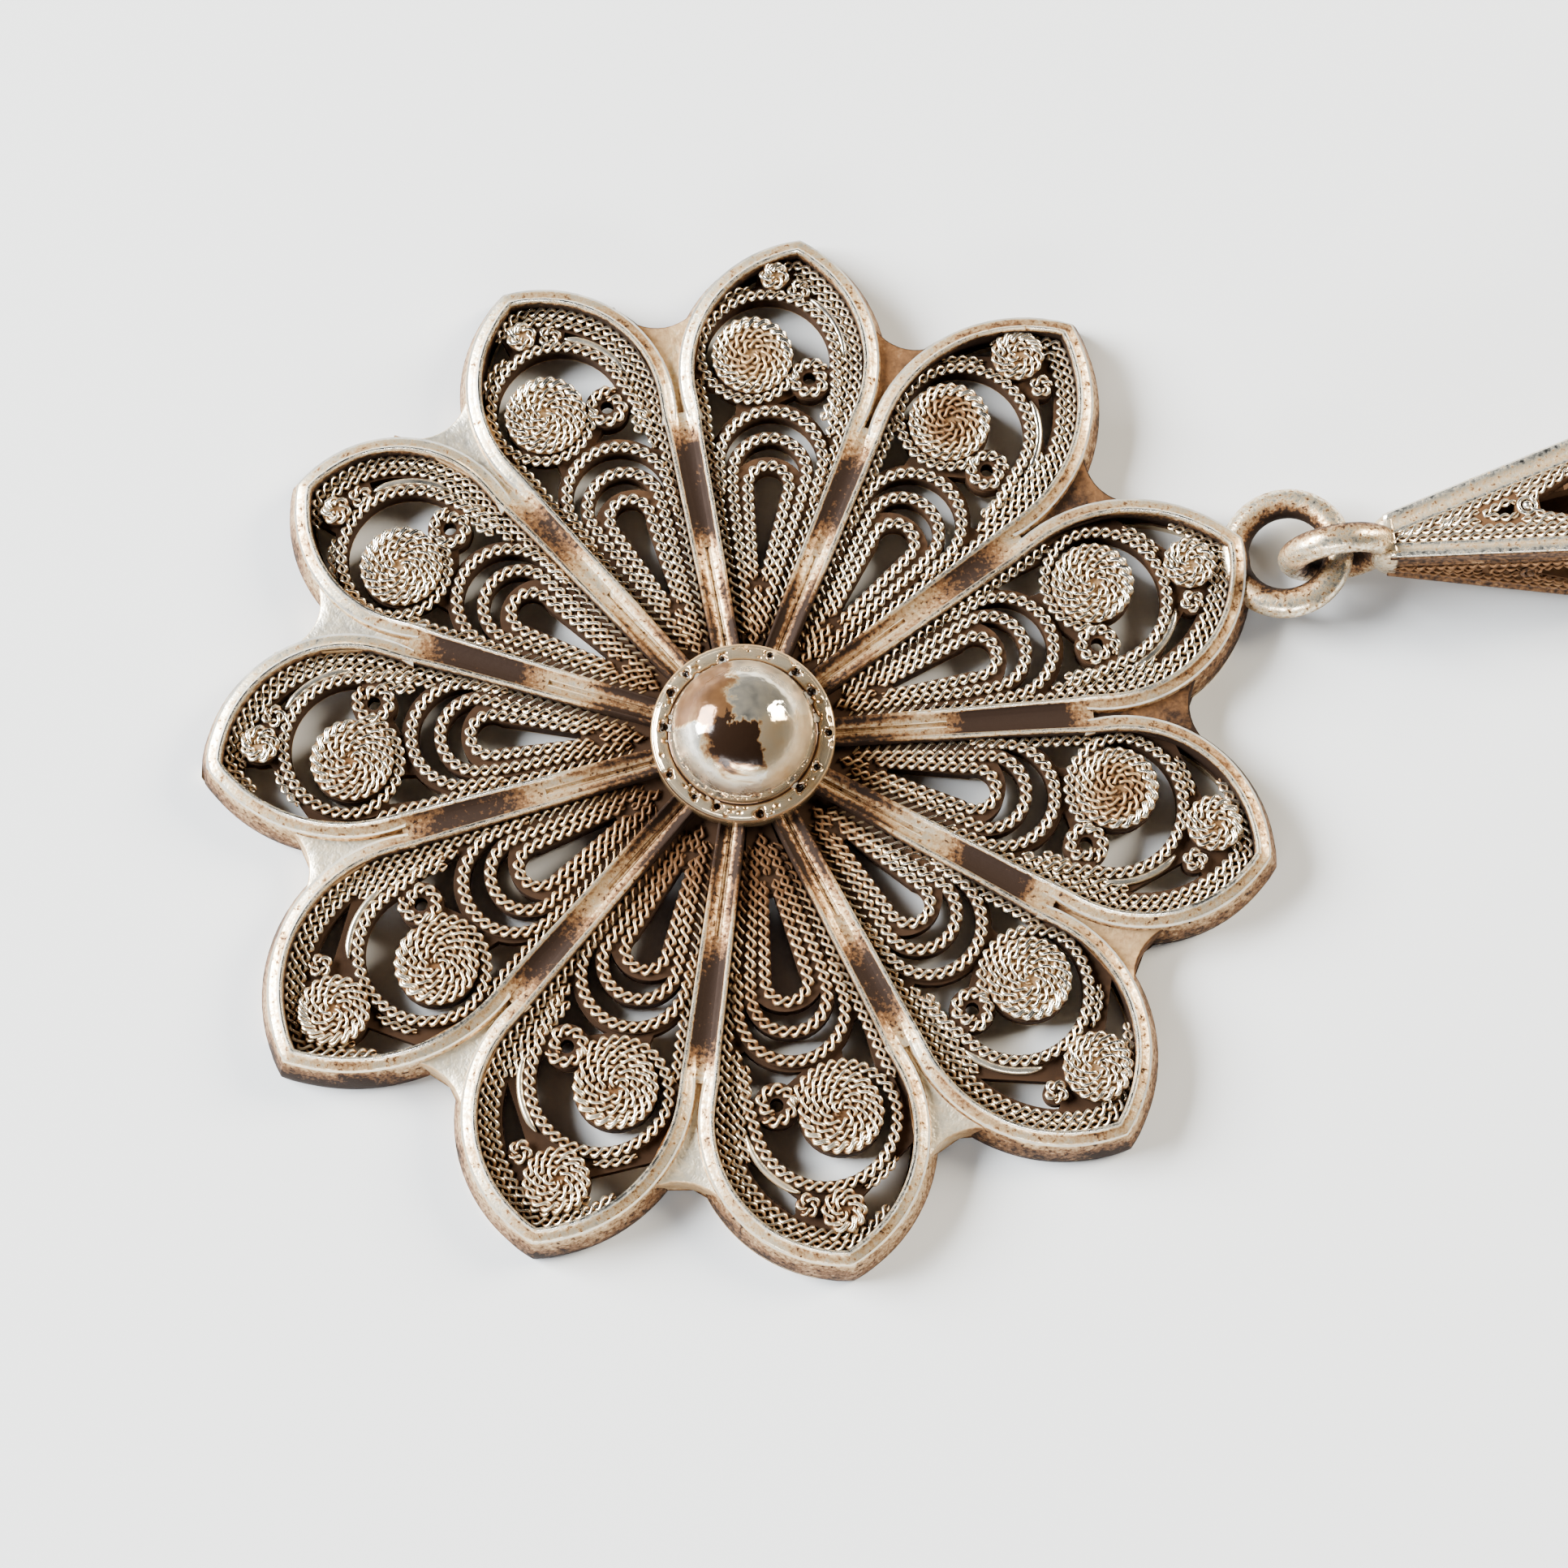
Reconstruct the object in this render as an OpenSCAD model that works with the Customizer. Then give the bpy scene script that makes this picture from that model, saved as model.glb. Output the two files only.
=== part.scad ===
// Long chain necklace lying flat: a filigree flower pendant, a pierced spindle link and a cable chain.
// The origin is the middle of the flower's flat back, +Z is up, and the chain runs out along +X.

/* [Flower] */
// Usual distance from the flower's centre to the crest of a petal's tip
flower_reach = 21; // [20:0.1:22]
// Least width of the dark channel between two petals' frames
channel_w = 0.24; // [0.2:0.02:0.3]
// Radius at which a petal's head is widest
head_at = 15.4; // [15:0.1:15.8]
// How far the sloping outer side of a frame stands out past its crest
frame_flare = 0.35; // [0.2:0.05:0.5]
// Width of the flat frame wire at its crest
frame_w = 0.55; // [0.4:0.05:0.7]
// Height of the frames above the flower's back
frame_h = 1.6; // [1.3:0.1:2]
// Height of the foot of the frames, up to where they lean in
frame_foot_h = 0.5; // [0.3:0.1:0.8]

/* [Filigree] */
// Underside of the filigree above the flower's back
filigree_z = 0.4; // [0.2:0.1:0.6]
// Top of the plain filigree rows
filigree_top = 1.05; // [0.9:0.05:1.2]
// Top of the raised loops and arcs
loop_top = 1.2; // [1.1:0.05:1.4]
// Top of the coiled disks
disk_top = 1.4; // [1.2:0.05:1.5]
// Radius of the large coiled disk in each petal
disk_r = 1.62; // [1.4:0.02:1.7]
// Distance of the large disk from the flower's centre
disk_at = 15; // [14.8:0.1:15.2]
// Outermost point of the teardrop hole
tear_at = 10.3; // [10:0.1:10.6]
// Radius of the teardrop hole's round end
tear_r = 0.62; // [0.5:0.02:0.7]

/* [Centre] */
// Radius of the round centre plate
plate_r = 3.55; // [3.3:0.05:3.8]
// Top of the round centre plate
plate_top = 2.3; // [2:0.1:2.6]
// Radius of the half ball
ball_r = 2.8; // [2.6:0.05:2.9]

/* [Rings] */
// Wire thickness of the plain rings
ring_wire = 1; // [0.8:0.05:1]
// Centreline radius of the ring soldered to the flower
tip_ring_r = 2.05; // [2:0.05:2.1]
// Centreline radius of the rings at the spindle link's two tips
end_ring_r = 1.75; // [1.7:0.05:1.8]
// Centreline radius of the ring that joins the chain
join_ring_r = 3.4; // [3.4:0.05:3.6]

/* [Spindle link] */
// Half the length of the four-sided body
spindle_half = 9.5; // [9:0.1:10]
// Side of its square section in the middle
spindle_side = 5.4; // [5:0.1:5.6]
// Side of its square section at either tip
spindle_tip = 1.7; // [1.5:0.1:1.9]
// Thickness of its walls
spindle_wall = 0.7; // [0.5:0.05:0.9]

/* [Chain] */
// Number of links in the left half of the chain, one more than in the right
half_links = 100; // [80:1:100]
// Wire thickness of a chain link
link_wire = 0.9; // [0.8:0.05:0.9]
// Outside length of a link
link_l = 5.9; // [5.9:0.05:6]
// Outside width of a link
link_w = 3.6; // [3.5:0.05:3.7]
// Distance from one link to the next
link_pitch = 3.9; // [3.85:0.05:3.9]

/* [Hidden] */
$fn = 48;
eps = 0.01;
silver = [0.78, 0.75, 0.69];
petal_count = 11;

// The petals, clockwise from the top: heading in degrees, reach against the usual one,
// sideways lean of the tip, and how far the inner design sits out from its usual place.
petals = [
    [84.7, -0.2, 0.3, 0.8],
    [53.7, 0.5, 0.4, 0.3],
    [20.4, 0.15, -0.8, 0],
    [-12.4, -0.2, 0.3, -0.5],
    [-45.5, 0.2, 0.5, -0.6],
    [-80, -0.2, -0.5, 0],
    [-113.9, 0.05, -0.8, -0.6],
    [-147.2, 0.45, -1.3, -0.4],
    [-181.1, -0.3, -1.6, 0.1],
    [-211.9, -0.6, -0.5, 0.1],
    [-243.6, -0.3, -0.5, 0.4]
];

function heading(p) = petals[p][0];
function next_heading(p) = p < petal_count - 1 ? petals[p + 1][0] : petals[0][0] - 360;
function rib_heading(p) = (heading(p) + next_heading(p)) / 2;

// Half the angle from a petal to the next one on its right, side 1, or on its left, side -1.
function half_turn(p, side) =
    side > 0 ? (heading(p) - next_heading(p)) / 2 : half_turn((p + petal_count - 1) % petal_count, 1);

// Half the width of a petal's head to one side: what the channel at the halfway line leaves it.
usual_head_r = 5.8;
function head_w(p, side) =
    let (slope = tan(half_turn(p, side)))
        head_at * slope - usual_head_r * slope * slope / 2 - channel_w / 2;

// The head of a petal is where two circles overlap. Each stands upright where the head is widest
// and passes through the tip, so a tip that leans gives the two sides their own radii.
function head_h(p) = flower_reach + petals[p][1] - head_at;
function tip_off(p, side) = head_w(p, side) - side * petals[p][2];
function head_r(p, side) =
    (pow(head_h(p), 2) + pow(tip_off(p, side), 2)) / (2 * tip_off(p, side));

// Places and sizes inside a petal: x to its right, y out from the flower's centre.
row_w = 0.45;
loops_r = 2.25;
loops_at = tear_at + 0.5;
loops_foot = 3;
disk_x = -1.15;
arc_x = -0.55;
arc_r = 2.5;
curl_r = 0.88;
curl_at = [1.2, disk_at - 0.7];
curl_eye_r = 0.27;
tip_lining = 1.15;
tip_disk_x = -0.6;
tip_disk_least = 0.6;
tip_curl_r = 0.48;
tip_gap_inset = 0.6;
petal_w = 8;

// The plate that the petals share, the webs and the paired ribs between them.
plate_reach = 14.4;
web_z = 0.25;
web_top = 1.3;
rib_from = 2.6;
rib_to = 13.4;
rib_z = 0.1;
rib_h = frame_h - 0.2;
function shift(p) = petals[p][3];
function arc_top(p) = disk_at + shift(p) + arc_r + row_w;
function tip_disk_r(p) =
    max(tip_disk_least, (flower_reach + petals[p][1] - tip_lining - arc_top(p)) / 2);
function tip_disk_y(p) = arc_top(p) + tip_disk_r(p) - 0.1;

// Where an arc over the teardrop starts and how it bulges, from its rise and half width.
function arc_radius(rise, half) = (rise * rise + half * half) / (2 * rise);

// The overlap of two circles about a petal's head, drawn in by inset.
module head_2d(p, inset = 0) {
    intersection_for (side = [-1, 1])
        translate([side * (head_w(p, side) - head_r(p, side)), 0])
            circle(head_r(p, side) - inset);
}

module head_at_2d(p, inset = 0) {
    translate([0, head_at])
        head_2d(p, inset);
}

// A round end at y with straight sides that run in to a blunt point at foot.
module teardrop_2d(r, y, foot) {
    translate([0, y])
        circle(r);
    polygon([[-0.92 * r, y], [0.92 * r, y], [0.16 * r, foot], [-0.16 * r, foot]]);
}

// A crescent with its horns at y, from an inner rise to an outer rise above them.
module crescent_2d(y, half, inner, outer) {
    difference() {
        translate([0, y + outer - arc_radius(outer, half)])
            circle(arc_radius(outer, half));
        translate([0, y + inner - arc_radius(inner, half)])
            circle(arc_radius(inner, half));
        translate([-2 * half, y - 4 * half])
            square([4 * half, 4 * half]);
    }
}

// The outer edge of the loops round the teardrop.
module loops_2d() {
    teardrop_2d(loops_r, loops_at, loops_foot);
}

// The gaps over the teardrop hole and beside the loops.
module lower_gaps_2d() {
    teardrop_2d(tear_r, tear_at - tear_r, tear_at - 4.1);
    crescent_2d(tear_at, 1.2, 0.55, 1.15);
    crescent_2d(tear_at - 0.25, 1.75, 1.85, 2.5);
    difference() {
        polygon([[-2.8, disk_at - 1.4], [-1.6, disk_at - 1.4], [-1.6, 12], [-2.5, 11.4]]);
        translate([0, loops_at])
            circle(loops_r + 0.13);
        translate([disk_x, disk_at])
            circle(disk_r + 0.3);
    }
    difference() {
        polygon([[-0.1, 13.1], [0.7, 13.6], [2.15, 13.9], [2.2, 12.1], [1.7, 11.9]]);
        translate([0, loops_at])
            circle(loops_r + 0.13);
        translate(curl_at)
            circle(curl_r);
    }
}

// The wide crescent round the large disk, and the eye of the curl beside it.
module disk_gaps_2d() {
    difference() {
        translate([arc_x, disk_at])
            circle(arc_r);
        translate([disk_x, disk_at])
            circle(disk_r);
        translate(curl_at)
            circle(curl_r);
        translate([-petal_w / 2, disk_at - 4.8])
            square([petal_w, 4]);
    }
    translate(curl_at)
        circle(curl_eye_r);
}

// The gaps between the big arc, the small disk and the rows under a petal's tip.
module tip_gaps_2d(p) {
    y = tip_disk_y(p);
    r = tip_disk_r(p);
    difference() {
        intersection() {
            head_at_2d(p, tip_gap_inset);
            polygon([[-4.2, y - 2.6], [-1.3, y - 0.4], [-1.3, y + 0.7], [-4.2, y + 0.2]]);
        }
        translate([arc_x, disk_at + shift(p)])
            circle(arc_r + row_w);
        translate([tip_disk_x, y])
            circle(r);
    }
    difference() {
        translate([0, y - 0.35 * r])
            circle(1.5 * r);
        translate([-0.16, y - 0.64 * r])
            circle(1.5 * r);
        translate([tip_disk_x, y])
            circle(r);
        translate([-petal_w / 2, y - 3.55])
            square([petal_w, 4]);
    }
    difference() {
        intersection() {
            head_at_2d(p, 1.5);
            polygon([[0.9, y - 0.7], [1.5, y + 0.1], [3.4, y - 1.4], [3, y - 3]]);
        }
        translate([arc_x, disk_at + shift(p)])
            circle(arc_r + row_w);
        translate([tip_disk_x + r + 0.45, y - 0.45])
            circle(tip_curl_r);
    }
}

// Every gap of one petal.
module petal_gaps_2d(p) {
    translate([0, shift(p)]) {
        lower_gaps_2d();
        disk_gaps_2d();
    }
    tip_gaps_2d(p);
}

// The web that fills the notch between two petals, with its hollow outer edge.
module web_2d(p) {
    difference() {
        rotate(rib_heading(p) - 90)
            difference() {
                polygon([[-0.6, 13], [0.6, 13], [2.3, 18.1], [-2.3, 18.1]]);
                translate([0, 19.5])
                    circle(2.15);
            }
        rotate(heading(p) - 90)
            head_at_2d(p, frame_w / 2);
        rotate(next_heading(p) - 90)
            head_at_2d((p + 1) % petal_count, frame_w / 2);
    }
}

// The flat plate that all the petals share, with its gaps.
module pierced_plate() {
    translate([0, 0, filigree_z])
        linear_extrude(filigree_top - filigree_z)
            difference() {
                union() {
                    circle(plate_reach);
                    for (p = [0:petal_count - 1])
                        rotate(heading(p) - 90)
                            head_at_2d(p, 0.3);
                }
                for (p = [0:petal_count - 1])
                    rotate(heading(p) - 90)
                        petal_gaps_2d(p);
            }
}

// The raised parts of one petal's filigree.
module petal_relief(p) {
    translate([0, 0, filigree_z + eps]) {
        linear_extrude(loop_top - filigree_z)
            difference() {
                union() {
                    translate([0, shift(p)])
                        loops_2d();
                    translate([arc_x, disk_at + shift(p)])
                        difference() {
                            circle(arc_r + row_w);
                            circle(arc_r - 0.02);
                            translate([-petal_w / 2, -5.1])
                                square([petal_w, 4]);
                        }
                    translate([0, shift(p)])
                        translate(curl_at)
                            circle(curl_r - 0.02);
                }
                translate([0, shift(p)]) {
                    lower_gaps_2d();
                    disk_gaps_2d();
                }
            }
        translate([disk_x, disk_at + shift(p), 0])
            cylinder(h = disk_top - filigree_z, r = disk_r - 0.03);
        translate([tip_disk_x, tip_disk_y(p), 0])
            cylinder(h = disk_top - filigree_z, r = tip_disk_r(p) - 0.04);
    }
}

// The frame round one petal's head: a foot that stands out and a narrower crest.
module head_frame(p) {
    linear_extrude(frame_foot_h)
        difference() {
            head_at_2d(p, -frame_flare);
            head_at_2d(p, frame_w + 0.12);
            translate([-petal_w, 2])
                square([2 * petal_w, 11.1]);
        }
    linear_extrude(frame_h)
        difference() {
            head_at_2d(p, 0);
            head_at_2d(p, frame_w);
            translate([-petal_w, 2])
                square([2 * petal_w, 10.9]);
        }
}

// The two frame wires that run side by side to the centre between two petals.
module ribs() {
    for (side = [-1, 1])
        translate([0, 0, rib_z])
            linear_extrude(rib_h)
                polygon([
                    [side * 0.06, rib_from], [side * 0.48, rib_from],
                    [side * 0.66, rib_to], [side * 0.14, rib_to]
                ]);
}

// The dark channel between those wires.
module rib_channel() {
    translate([0, 0, filigree_z + 0.2])
        linear_extrude(frame_h)
            polygon([[-0.08, 8], [0.08, 8], [0.13, rib_to - 0.1], [-0.13, rib_to - 0.1]]);
}

// The centre plate with its ring of punched pits, the half ball and the base they stand on.
plate_h = 0.75;
base_r = plate_r - 0.35;
ball_sink = 0.1;
ball_foot = 1.1;
pit_count = 14;
pit_depth = 0.2;
pit_at = (plate_r + ball_r) / 2;
pit_r = 0.15;
module centre() {
    cylinder(h = plate_top - plate_h + 0.05, r = base_r);
    translate([0, 0, plate_top - plate_h])
        difference() {
            cylinder(h = plate_h, r = plate_r);
            for (k = [0:pit_count - 1])
                rotate(k * 360 / pit_count + 6 * sin(k * 97))
                    translate([pit_at + 0.12 * cos(k * 131), 0, plate_h - pit_depth])
                        cylinder(h = 1, r = pit_r + 0.04 * sin(k * 71));
        }
    translate([0, 0, plate_top - ball_sink])
        intersection() {
            sphere(ball_r);
            translate([0, 0, -ball_foot])
                cylinder(h = 2 * ball_r, r = ball_r + eps);
        }
}

// A plain round ring of wire, flat.
module wire_ring(r, wire) {
    rotate_extrude()
        translate([r, 0])
            circle(d = wire);
}

// The ring soldered to the third petal's tip, tipped up away from the flower.
tip_ring_place = [21.3, 7.55, 1.35];
tip_ring_tip = 14;
module tip_ring() {
    translate(tip_ring_place)
        rotate([0, -tip_ring_tip, 0])
            wire_ring(tip_ring_r, ring_wire);
}

module flower_pendant() {
    color(silver) {
        difference() {
            union() {
                pierced_plate();
                for (p = [0:petal_count - 1]) {
                    rotate(heading(p) - 90) {
                        petal_relief(p);
                        head_frame(p);
                    }
                    rotate(rib_heading(p) - 90)
                        ribs();
                    translate([0, 0, web_z])
                        linear_extrude(web_top - web_z)
                            web_2d(p);
                }
            }
            for (p = [0:petal_count - 1])
                rotate(rib_heading(p) - 90)
                    rib_channel();
            translate([0, 0, -1])
                cylinder(h = 2 * plate_top, r = base_r - 0.25);
        }
        centre();
        tip_ring();
    }
}

// The spindle link's middle, its turn on the table, its rise towards the chain and its roll.
spindle_place = [34.4, 8.8, 2.95];
spindle_turn = 7.6;
spindle_rise = 3.5;
spindle_roll = -5;

// Half the side of the spindle's section at a distance along it.
function spindle_half_side(x) =
    (spindle_side - (spindle_side - spindle_tip) * abs(x) / spindle_half) / 2;

// The outline from one neck, where a ring is soldered on, through the wide middle to the other.
neck_w = 0.9;
neck_l = 0.45;
module spindle_outline_2d(inset) {
    a = spindle_side / 2 - inset;
    b = spindle_tip / 2 - inset * 0.75;
    c = neck_w / 2 - inset * 0.25;
    l = spindle_half - inset * 1.2;
    n = l + neck_l - inset * 0.5;
    polygon([
        [-n, -c], [-l, -b], [0, -a], [l, -b], [n, -c],
        [n, c], [l, b], [0, a], [-l, b], [-n, c]
    ]);
}

// The body's outer or inner form: one outline carried across, met by the same outline carried up.
module spindle_form(inset) {
    intersection() {
        translate([0, 0, -spindle_side])
            linear_extrude(2 * spindle_side)
                spindle_outline_2d(inset);
        rotate([90, 0, 0])
            translate([0, 0, -spindle_side])
                linear_extrude(2 * spindle_side)
                    spindle_outline_2d(inset);
    }
}

// The two gaps in each half of a face: a small triangle by the tip and a longer kite.
module face_gaps_2d() {
    for (side = [-1, 1])
        scale([side, 1]) {
            polygon([[-5.7, 0], [-4.6, -0.3], [-4.6, 0.3]]);
            polygon([[-3.7, -0.3], [-3.7, 0.3], [-2, 1], [-0.7, 0.35], [-0.7, -0.35], [-2, -1]]);
        }
}

// A ring standing on edge past one tip of the spindle.
module end_ring(side) {
    translate([side * (spindle_half + end_ring_r + 0.1), 0, 0])
        rotate([90, 0, 0])
            wire_ring(end_ring_r, ring_wire);
}

module spindle_link() {
    color(silver)
        translate(spindle_place)
            rotate([0, 0, spindle_turn])
                rotate([0, -spindle_rise, 0]) {
                    rotate([spindle_roll, 0, 0])
                        difference() {
                            spindle_form(0);
                            spindle_form(spindle_wall);
                            for (turn = [0, 90])
                                rotate([turn, 0, 0])
                                    translate([0, 0, -spindle_side])
                                        linear_extrude(2 * spindle_side)
                                            face_gaps_2d();
                        }
                    for (side = [-1, 1])
                        end_ring(side);
                }
}

// The join ring hangs from the far end ring and slopes down to the chain.
join_reach = 14.7;
join_drop = 0.72;
join_slope = 20;
join_place = spindle_place
    + [join_reach * cos(spindle_turn), join_reach * sin(spindle_turn), -join_drop];
module join_ring() {
    color(silver)
        translate(join_place)
            rotate([0, 0, spindle_turn])
                rotate([0, join_slope, 0])
                    wire_ring(join_ring_r, ring_wire);
}

// The chain's route is a drop shape: a cosine along its length and a sine that swells across it.
drop_ratio = 0.42;
route_steps = 360;
function drop(t) = [(1 - cos(t)) / 2, drop_ratio * sin(t) * sin(t / 2)];
drop_length = [
    for (k = 0, s = 0; k <= route_steps; s = s + norm(drop(k + 1) - drop(k)), k = k + 1) [s, k]
];
last_link = 2 * half_links - 2;
end_slack = 0.55;
link_first = join_ring_r - 0.5 * (ring_wire + link_wire) - end_slack + (link_l - link_wire) / 2;
route_length = 2 * link_first + last_link * link_pitch;
drop_scale = route_length / drop_length[route_steps][0];
link_z = (link_w - link_wire) / 2 * sin(45) + link_wire / 2;
function route_angle(s) = lookup(s / drop_scale, drop_length);
function route_at(s) = drop_scale * drop(route_angle(s));
function route_turn(s) =
    let (d = route_at(s + 0.5) - route_at(s - 0.5)) atan2(d[1], d[0]);

// One oval link lying along X: two half rings and two straight sides.
module oval_link() {
    r = (link_w - link_wire) / 2;
    half = (link_l - link_w) / 2;
    for (side = [0, 180])
        rotate(side) {
            translate([half, 0, 0])
                rotate(-90)
                    rotate_extrude(angle = 180)
                        translate([r, 0])
                            circle(d = link_wire);
            translate([-half, r, 0])
                rotate([0, 90, 0])
                    cylinder(h = 2 * half, d = link_wire);
        }
}

// Links k to last, each turned along the route and tipped to one side or the other.
module chain_run(first, last) {
    for (k = [first:last]) {
        s = link_first + k * link_pitch;
        translate([join_place[0], join_place[1], link_z])
            rotate(spindle_turn)
                translate(route_at(s))
                    rotate(route_turn(s))
                        rotate([k % 2 == 0 ? -45 : 45, 0, 0])
                            oval_link();
    }
}

module chain_left() {
    color(silver)
        chain_run(0, half_links - 1);
}

module chain_right() {
    color(silver)
        chain_run(half_links, last_link);
}

flower_pendant();
spindle_link();
join_ring();
chain_left();
chain_right();
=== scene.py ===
import math
import bpy
import numpy as np
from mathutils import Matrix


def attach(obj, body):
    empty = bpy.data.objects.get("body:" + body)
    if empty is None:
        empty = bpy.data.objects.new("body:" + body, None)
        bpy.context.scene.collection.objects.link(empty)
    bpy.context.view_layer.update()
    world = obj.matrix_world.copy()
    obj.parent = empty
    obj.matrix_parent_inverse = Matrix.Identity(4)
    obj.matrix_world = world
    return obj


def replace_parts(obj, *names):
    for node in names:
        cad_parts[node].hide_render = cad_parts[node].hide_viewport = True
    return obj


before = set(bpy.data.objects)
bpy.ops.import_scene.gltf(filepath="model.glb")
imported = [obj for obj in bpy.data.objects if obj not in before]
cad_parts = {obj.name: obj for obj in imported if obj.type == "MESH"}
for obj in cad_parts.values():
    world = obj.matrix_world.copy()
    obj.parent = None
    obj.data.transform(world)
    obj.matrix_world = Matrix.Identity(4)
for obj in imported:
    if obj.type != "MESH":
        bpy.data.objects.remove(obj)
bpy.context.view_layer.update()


mm = 0.001
up = np.array([0.0, 0.0, 1.0])

# Camera, floor and light

view = {
    "aim": (1.578, -1.456, 0.0),  # mm, the point at the middle of the picture
    "distance": 135.93,  # mm
    "elevation": 75.5,  # degrees above the floor
    "lens": 80.0,
    "sensor": 36.0,
    "clip": (0.005, 20.0),  # m
}
studio = {
    "floorColor": (0.62, 0.615, 0.60, 1.0),
    "floorRough": 0.7,
    "floorSize": 4.0,  # m
    "glowFrom": (0.45, 2.4),  # m from the middle, where the floor's own glow rises
    "farFloor": [(0.0, (0.0, 0.0, 0.0, 1.0)), (1.0, (0.55, 0.56, 0.56, 1.0))],  # glow that evens it out
    "skyStops": [  # the walls' glow, from overhead down to the brightest wall
        (0.00, (0.012, 0.013, 0.016, 1.0)),
        (0.45, (0.15, 0.156, 0.17, 1.0)),
        (1.00, (0.95, 0.97, 1.00, 1.0)),
    ],
    "skyTop": 0.55,  # height on the unit sphere where the walls end
    "rightWall": 0.45,  # its glow, where the left wall's is 1
    "leftFrom": (-0.6, 0.8),  # where the glow rises, from right to left on the unit sphere
    "horizon": (0.01, 0.07),  # heights where the bright band round the floor fades
    "softboxes": [  # where each stands (m), its two sides (m), watts, colour
        ((-1.42, 0.34, 0.80), (1.05, 0.80), 245.0, (0.90, 0.95, 1.0)),
        ((1.36, 0.64, 0.88), (0.60, 0.80), 77.0, (1.0, 0.92, 0.78)),
        ((-0.24, -1.44, 0.56), (1.36, 0.20), 29.0, (0.95, 0.97, 1.0)),
    ],
}


def newObject(data):  # an object in the scene, named as its data
    made = bpy.data.objects.new(data.name, data)
    bpy.context.scene.collection.objects.link(made)
    return made


def setCamera():
    tilt = math.radians(view["elevation"])
    away = np.array([0.0, -math.cos(tilt), math.sin(tilt)]) * view["distance"]
    data = bpy.data.cameras.new("camera")
    data.lens = view["lens"]
    data.sensor_width = view["sensor"]
    data.clip_start, data.clip_end = view["clip"]
    camera = newObject(data)
    camera.location = (away + view["aim"]) * mm
    camera.rotation_euler = (math.pi / 2 - tilt, 0.0, 0.0)
    bpy.context.scene.camera = camera


# Walls that glow most low down and on the left, and softboxes that face the flower.
def setLights():
    world = bpy.data.worlds.new("sky")
    world.use_nodes = True
    start = Value(world.node_tree, None)
    x, _, z = start.node("ShaderNodeTexCoord", output="Generated").parts()
    right = studio["rightWall"]
    sideways = right + (1 - right) * (0.0 - x).rise(*studio["leftFrom"])
    glow = (1.0 - z.rise(0.0, studio["skyTop"])) * sideways
    glow = (glow + 1.0 - z.rise(*studio["horizon"])).held()
    start.feed(world.node_tree.nodes["Background"].inputs["Color"], glow.ramp(studio["skyStops"]))
    bpy.context.scene.world = world
    for number, (place, sides, watts, color) in enumerate(studio["softboxes"]):
        data = bpy.data.lights.new(f"softbox{number}", "AREA")
        data.shape = "RECTANGLE"
        data.size, data.size_y = sides
        data.energy = watts
        data.color = color
        lamp = newObject(data)
        lamp.location = place
        lean = math.atan2(math.hypot(place[0], place[1]), place[2])
        lamp.rotation_euler = (lean, 0.0, math.atan2(place[0], -place[1]))


# A pale square with a glow far out, where the softboxes don't reach.
def setFloor():
    reach = studio["floorSize"]
    mesh = bpy.data.meshes.new("floor")
    mesh.from_pydata([(-reach, -reach, 0), (reach, -reach, 0), (reach, reach, 0), (-reach, reach, 0)],
                     [], [(0, 1, 2, 3)])
    material, shader, start = newMaterial("pale_floor")
    shader.inputs["Base Color"].default_value = studio["floorColor"]
    shader.inputs["Roughness"].default_value = studio["floorRough"]
    shader.inputs["Emission Strength"].default_value = 1.0
    x, y, _ = start.node("ShaderNodeTexCoord", output="Object").parts()
    far = (x * x + y * y).root().rise(*studio["glowFrom"])
    start.feed(shader.inputs["Emission Color"], far.ramp(studio["farFloor"]))
    mesh.materials.append(material)
    newObject(mesh)


# Shader maths


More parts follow.
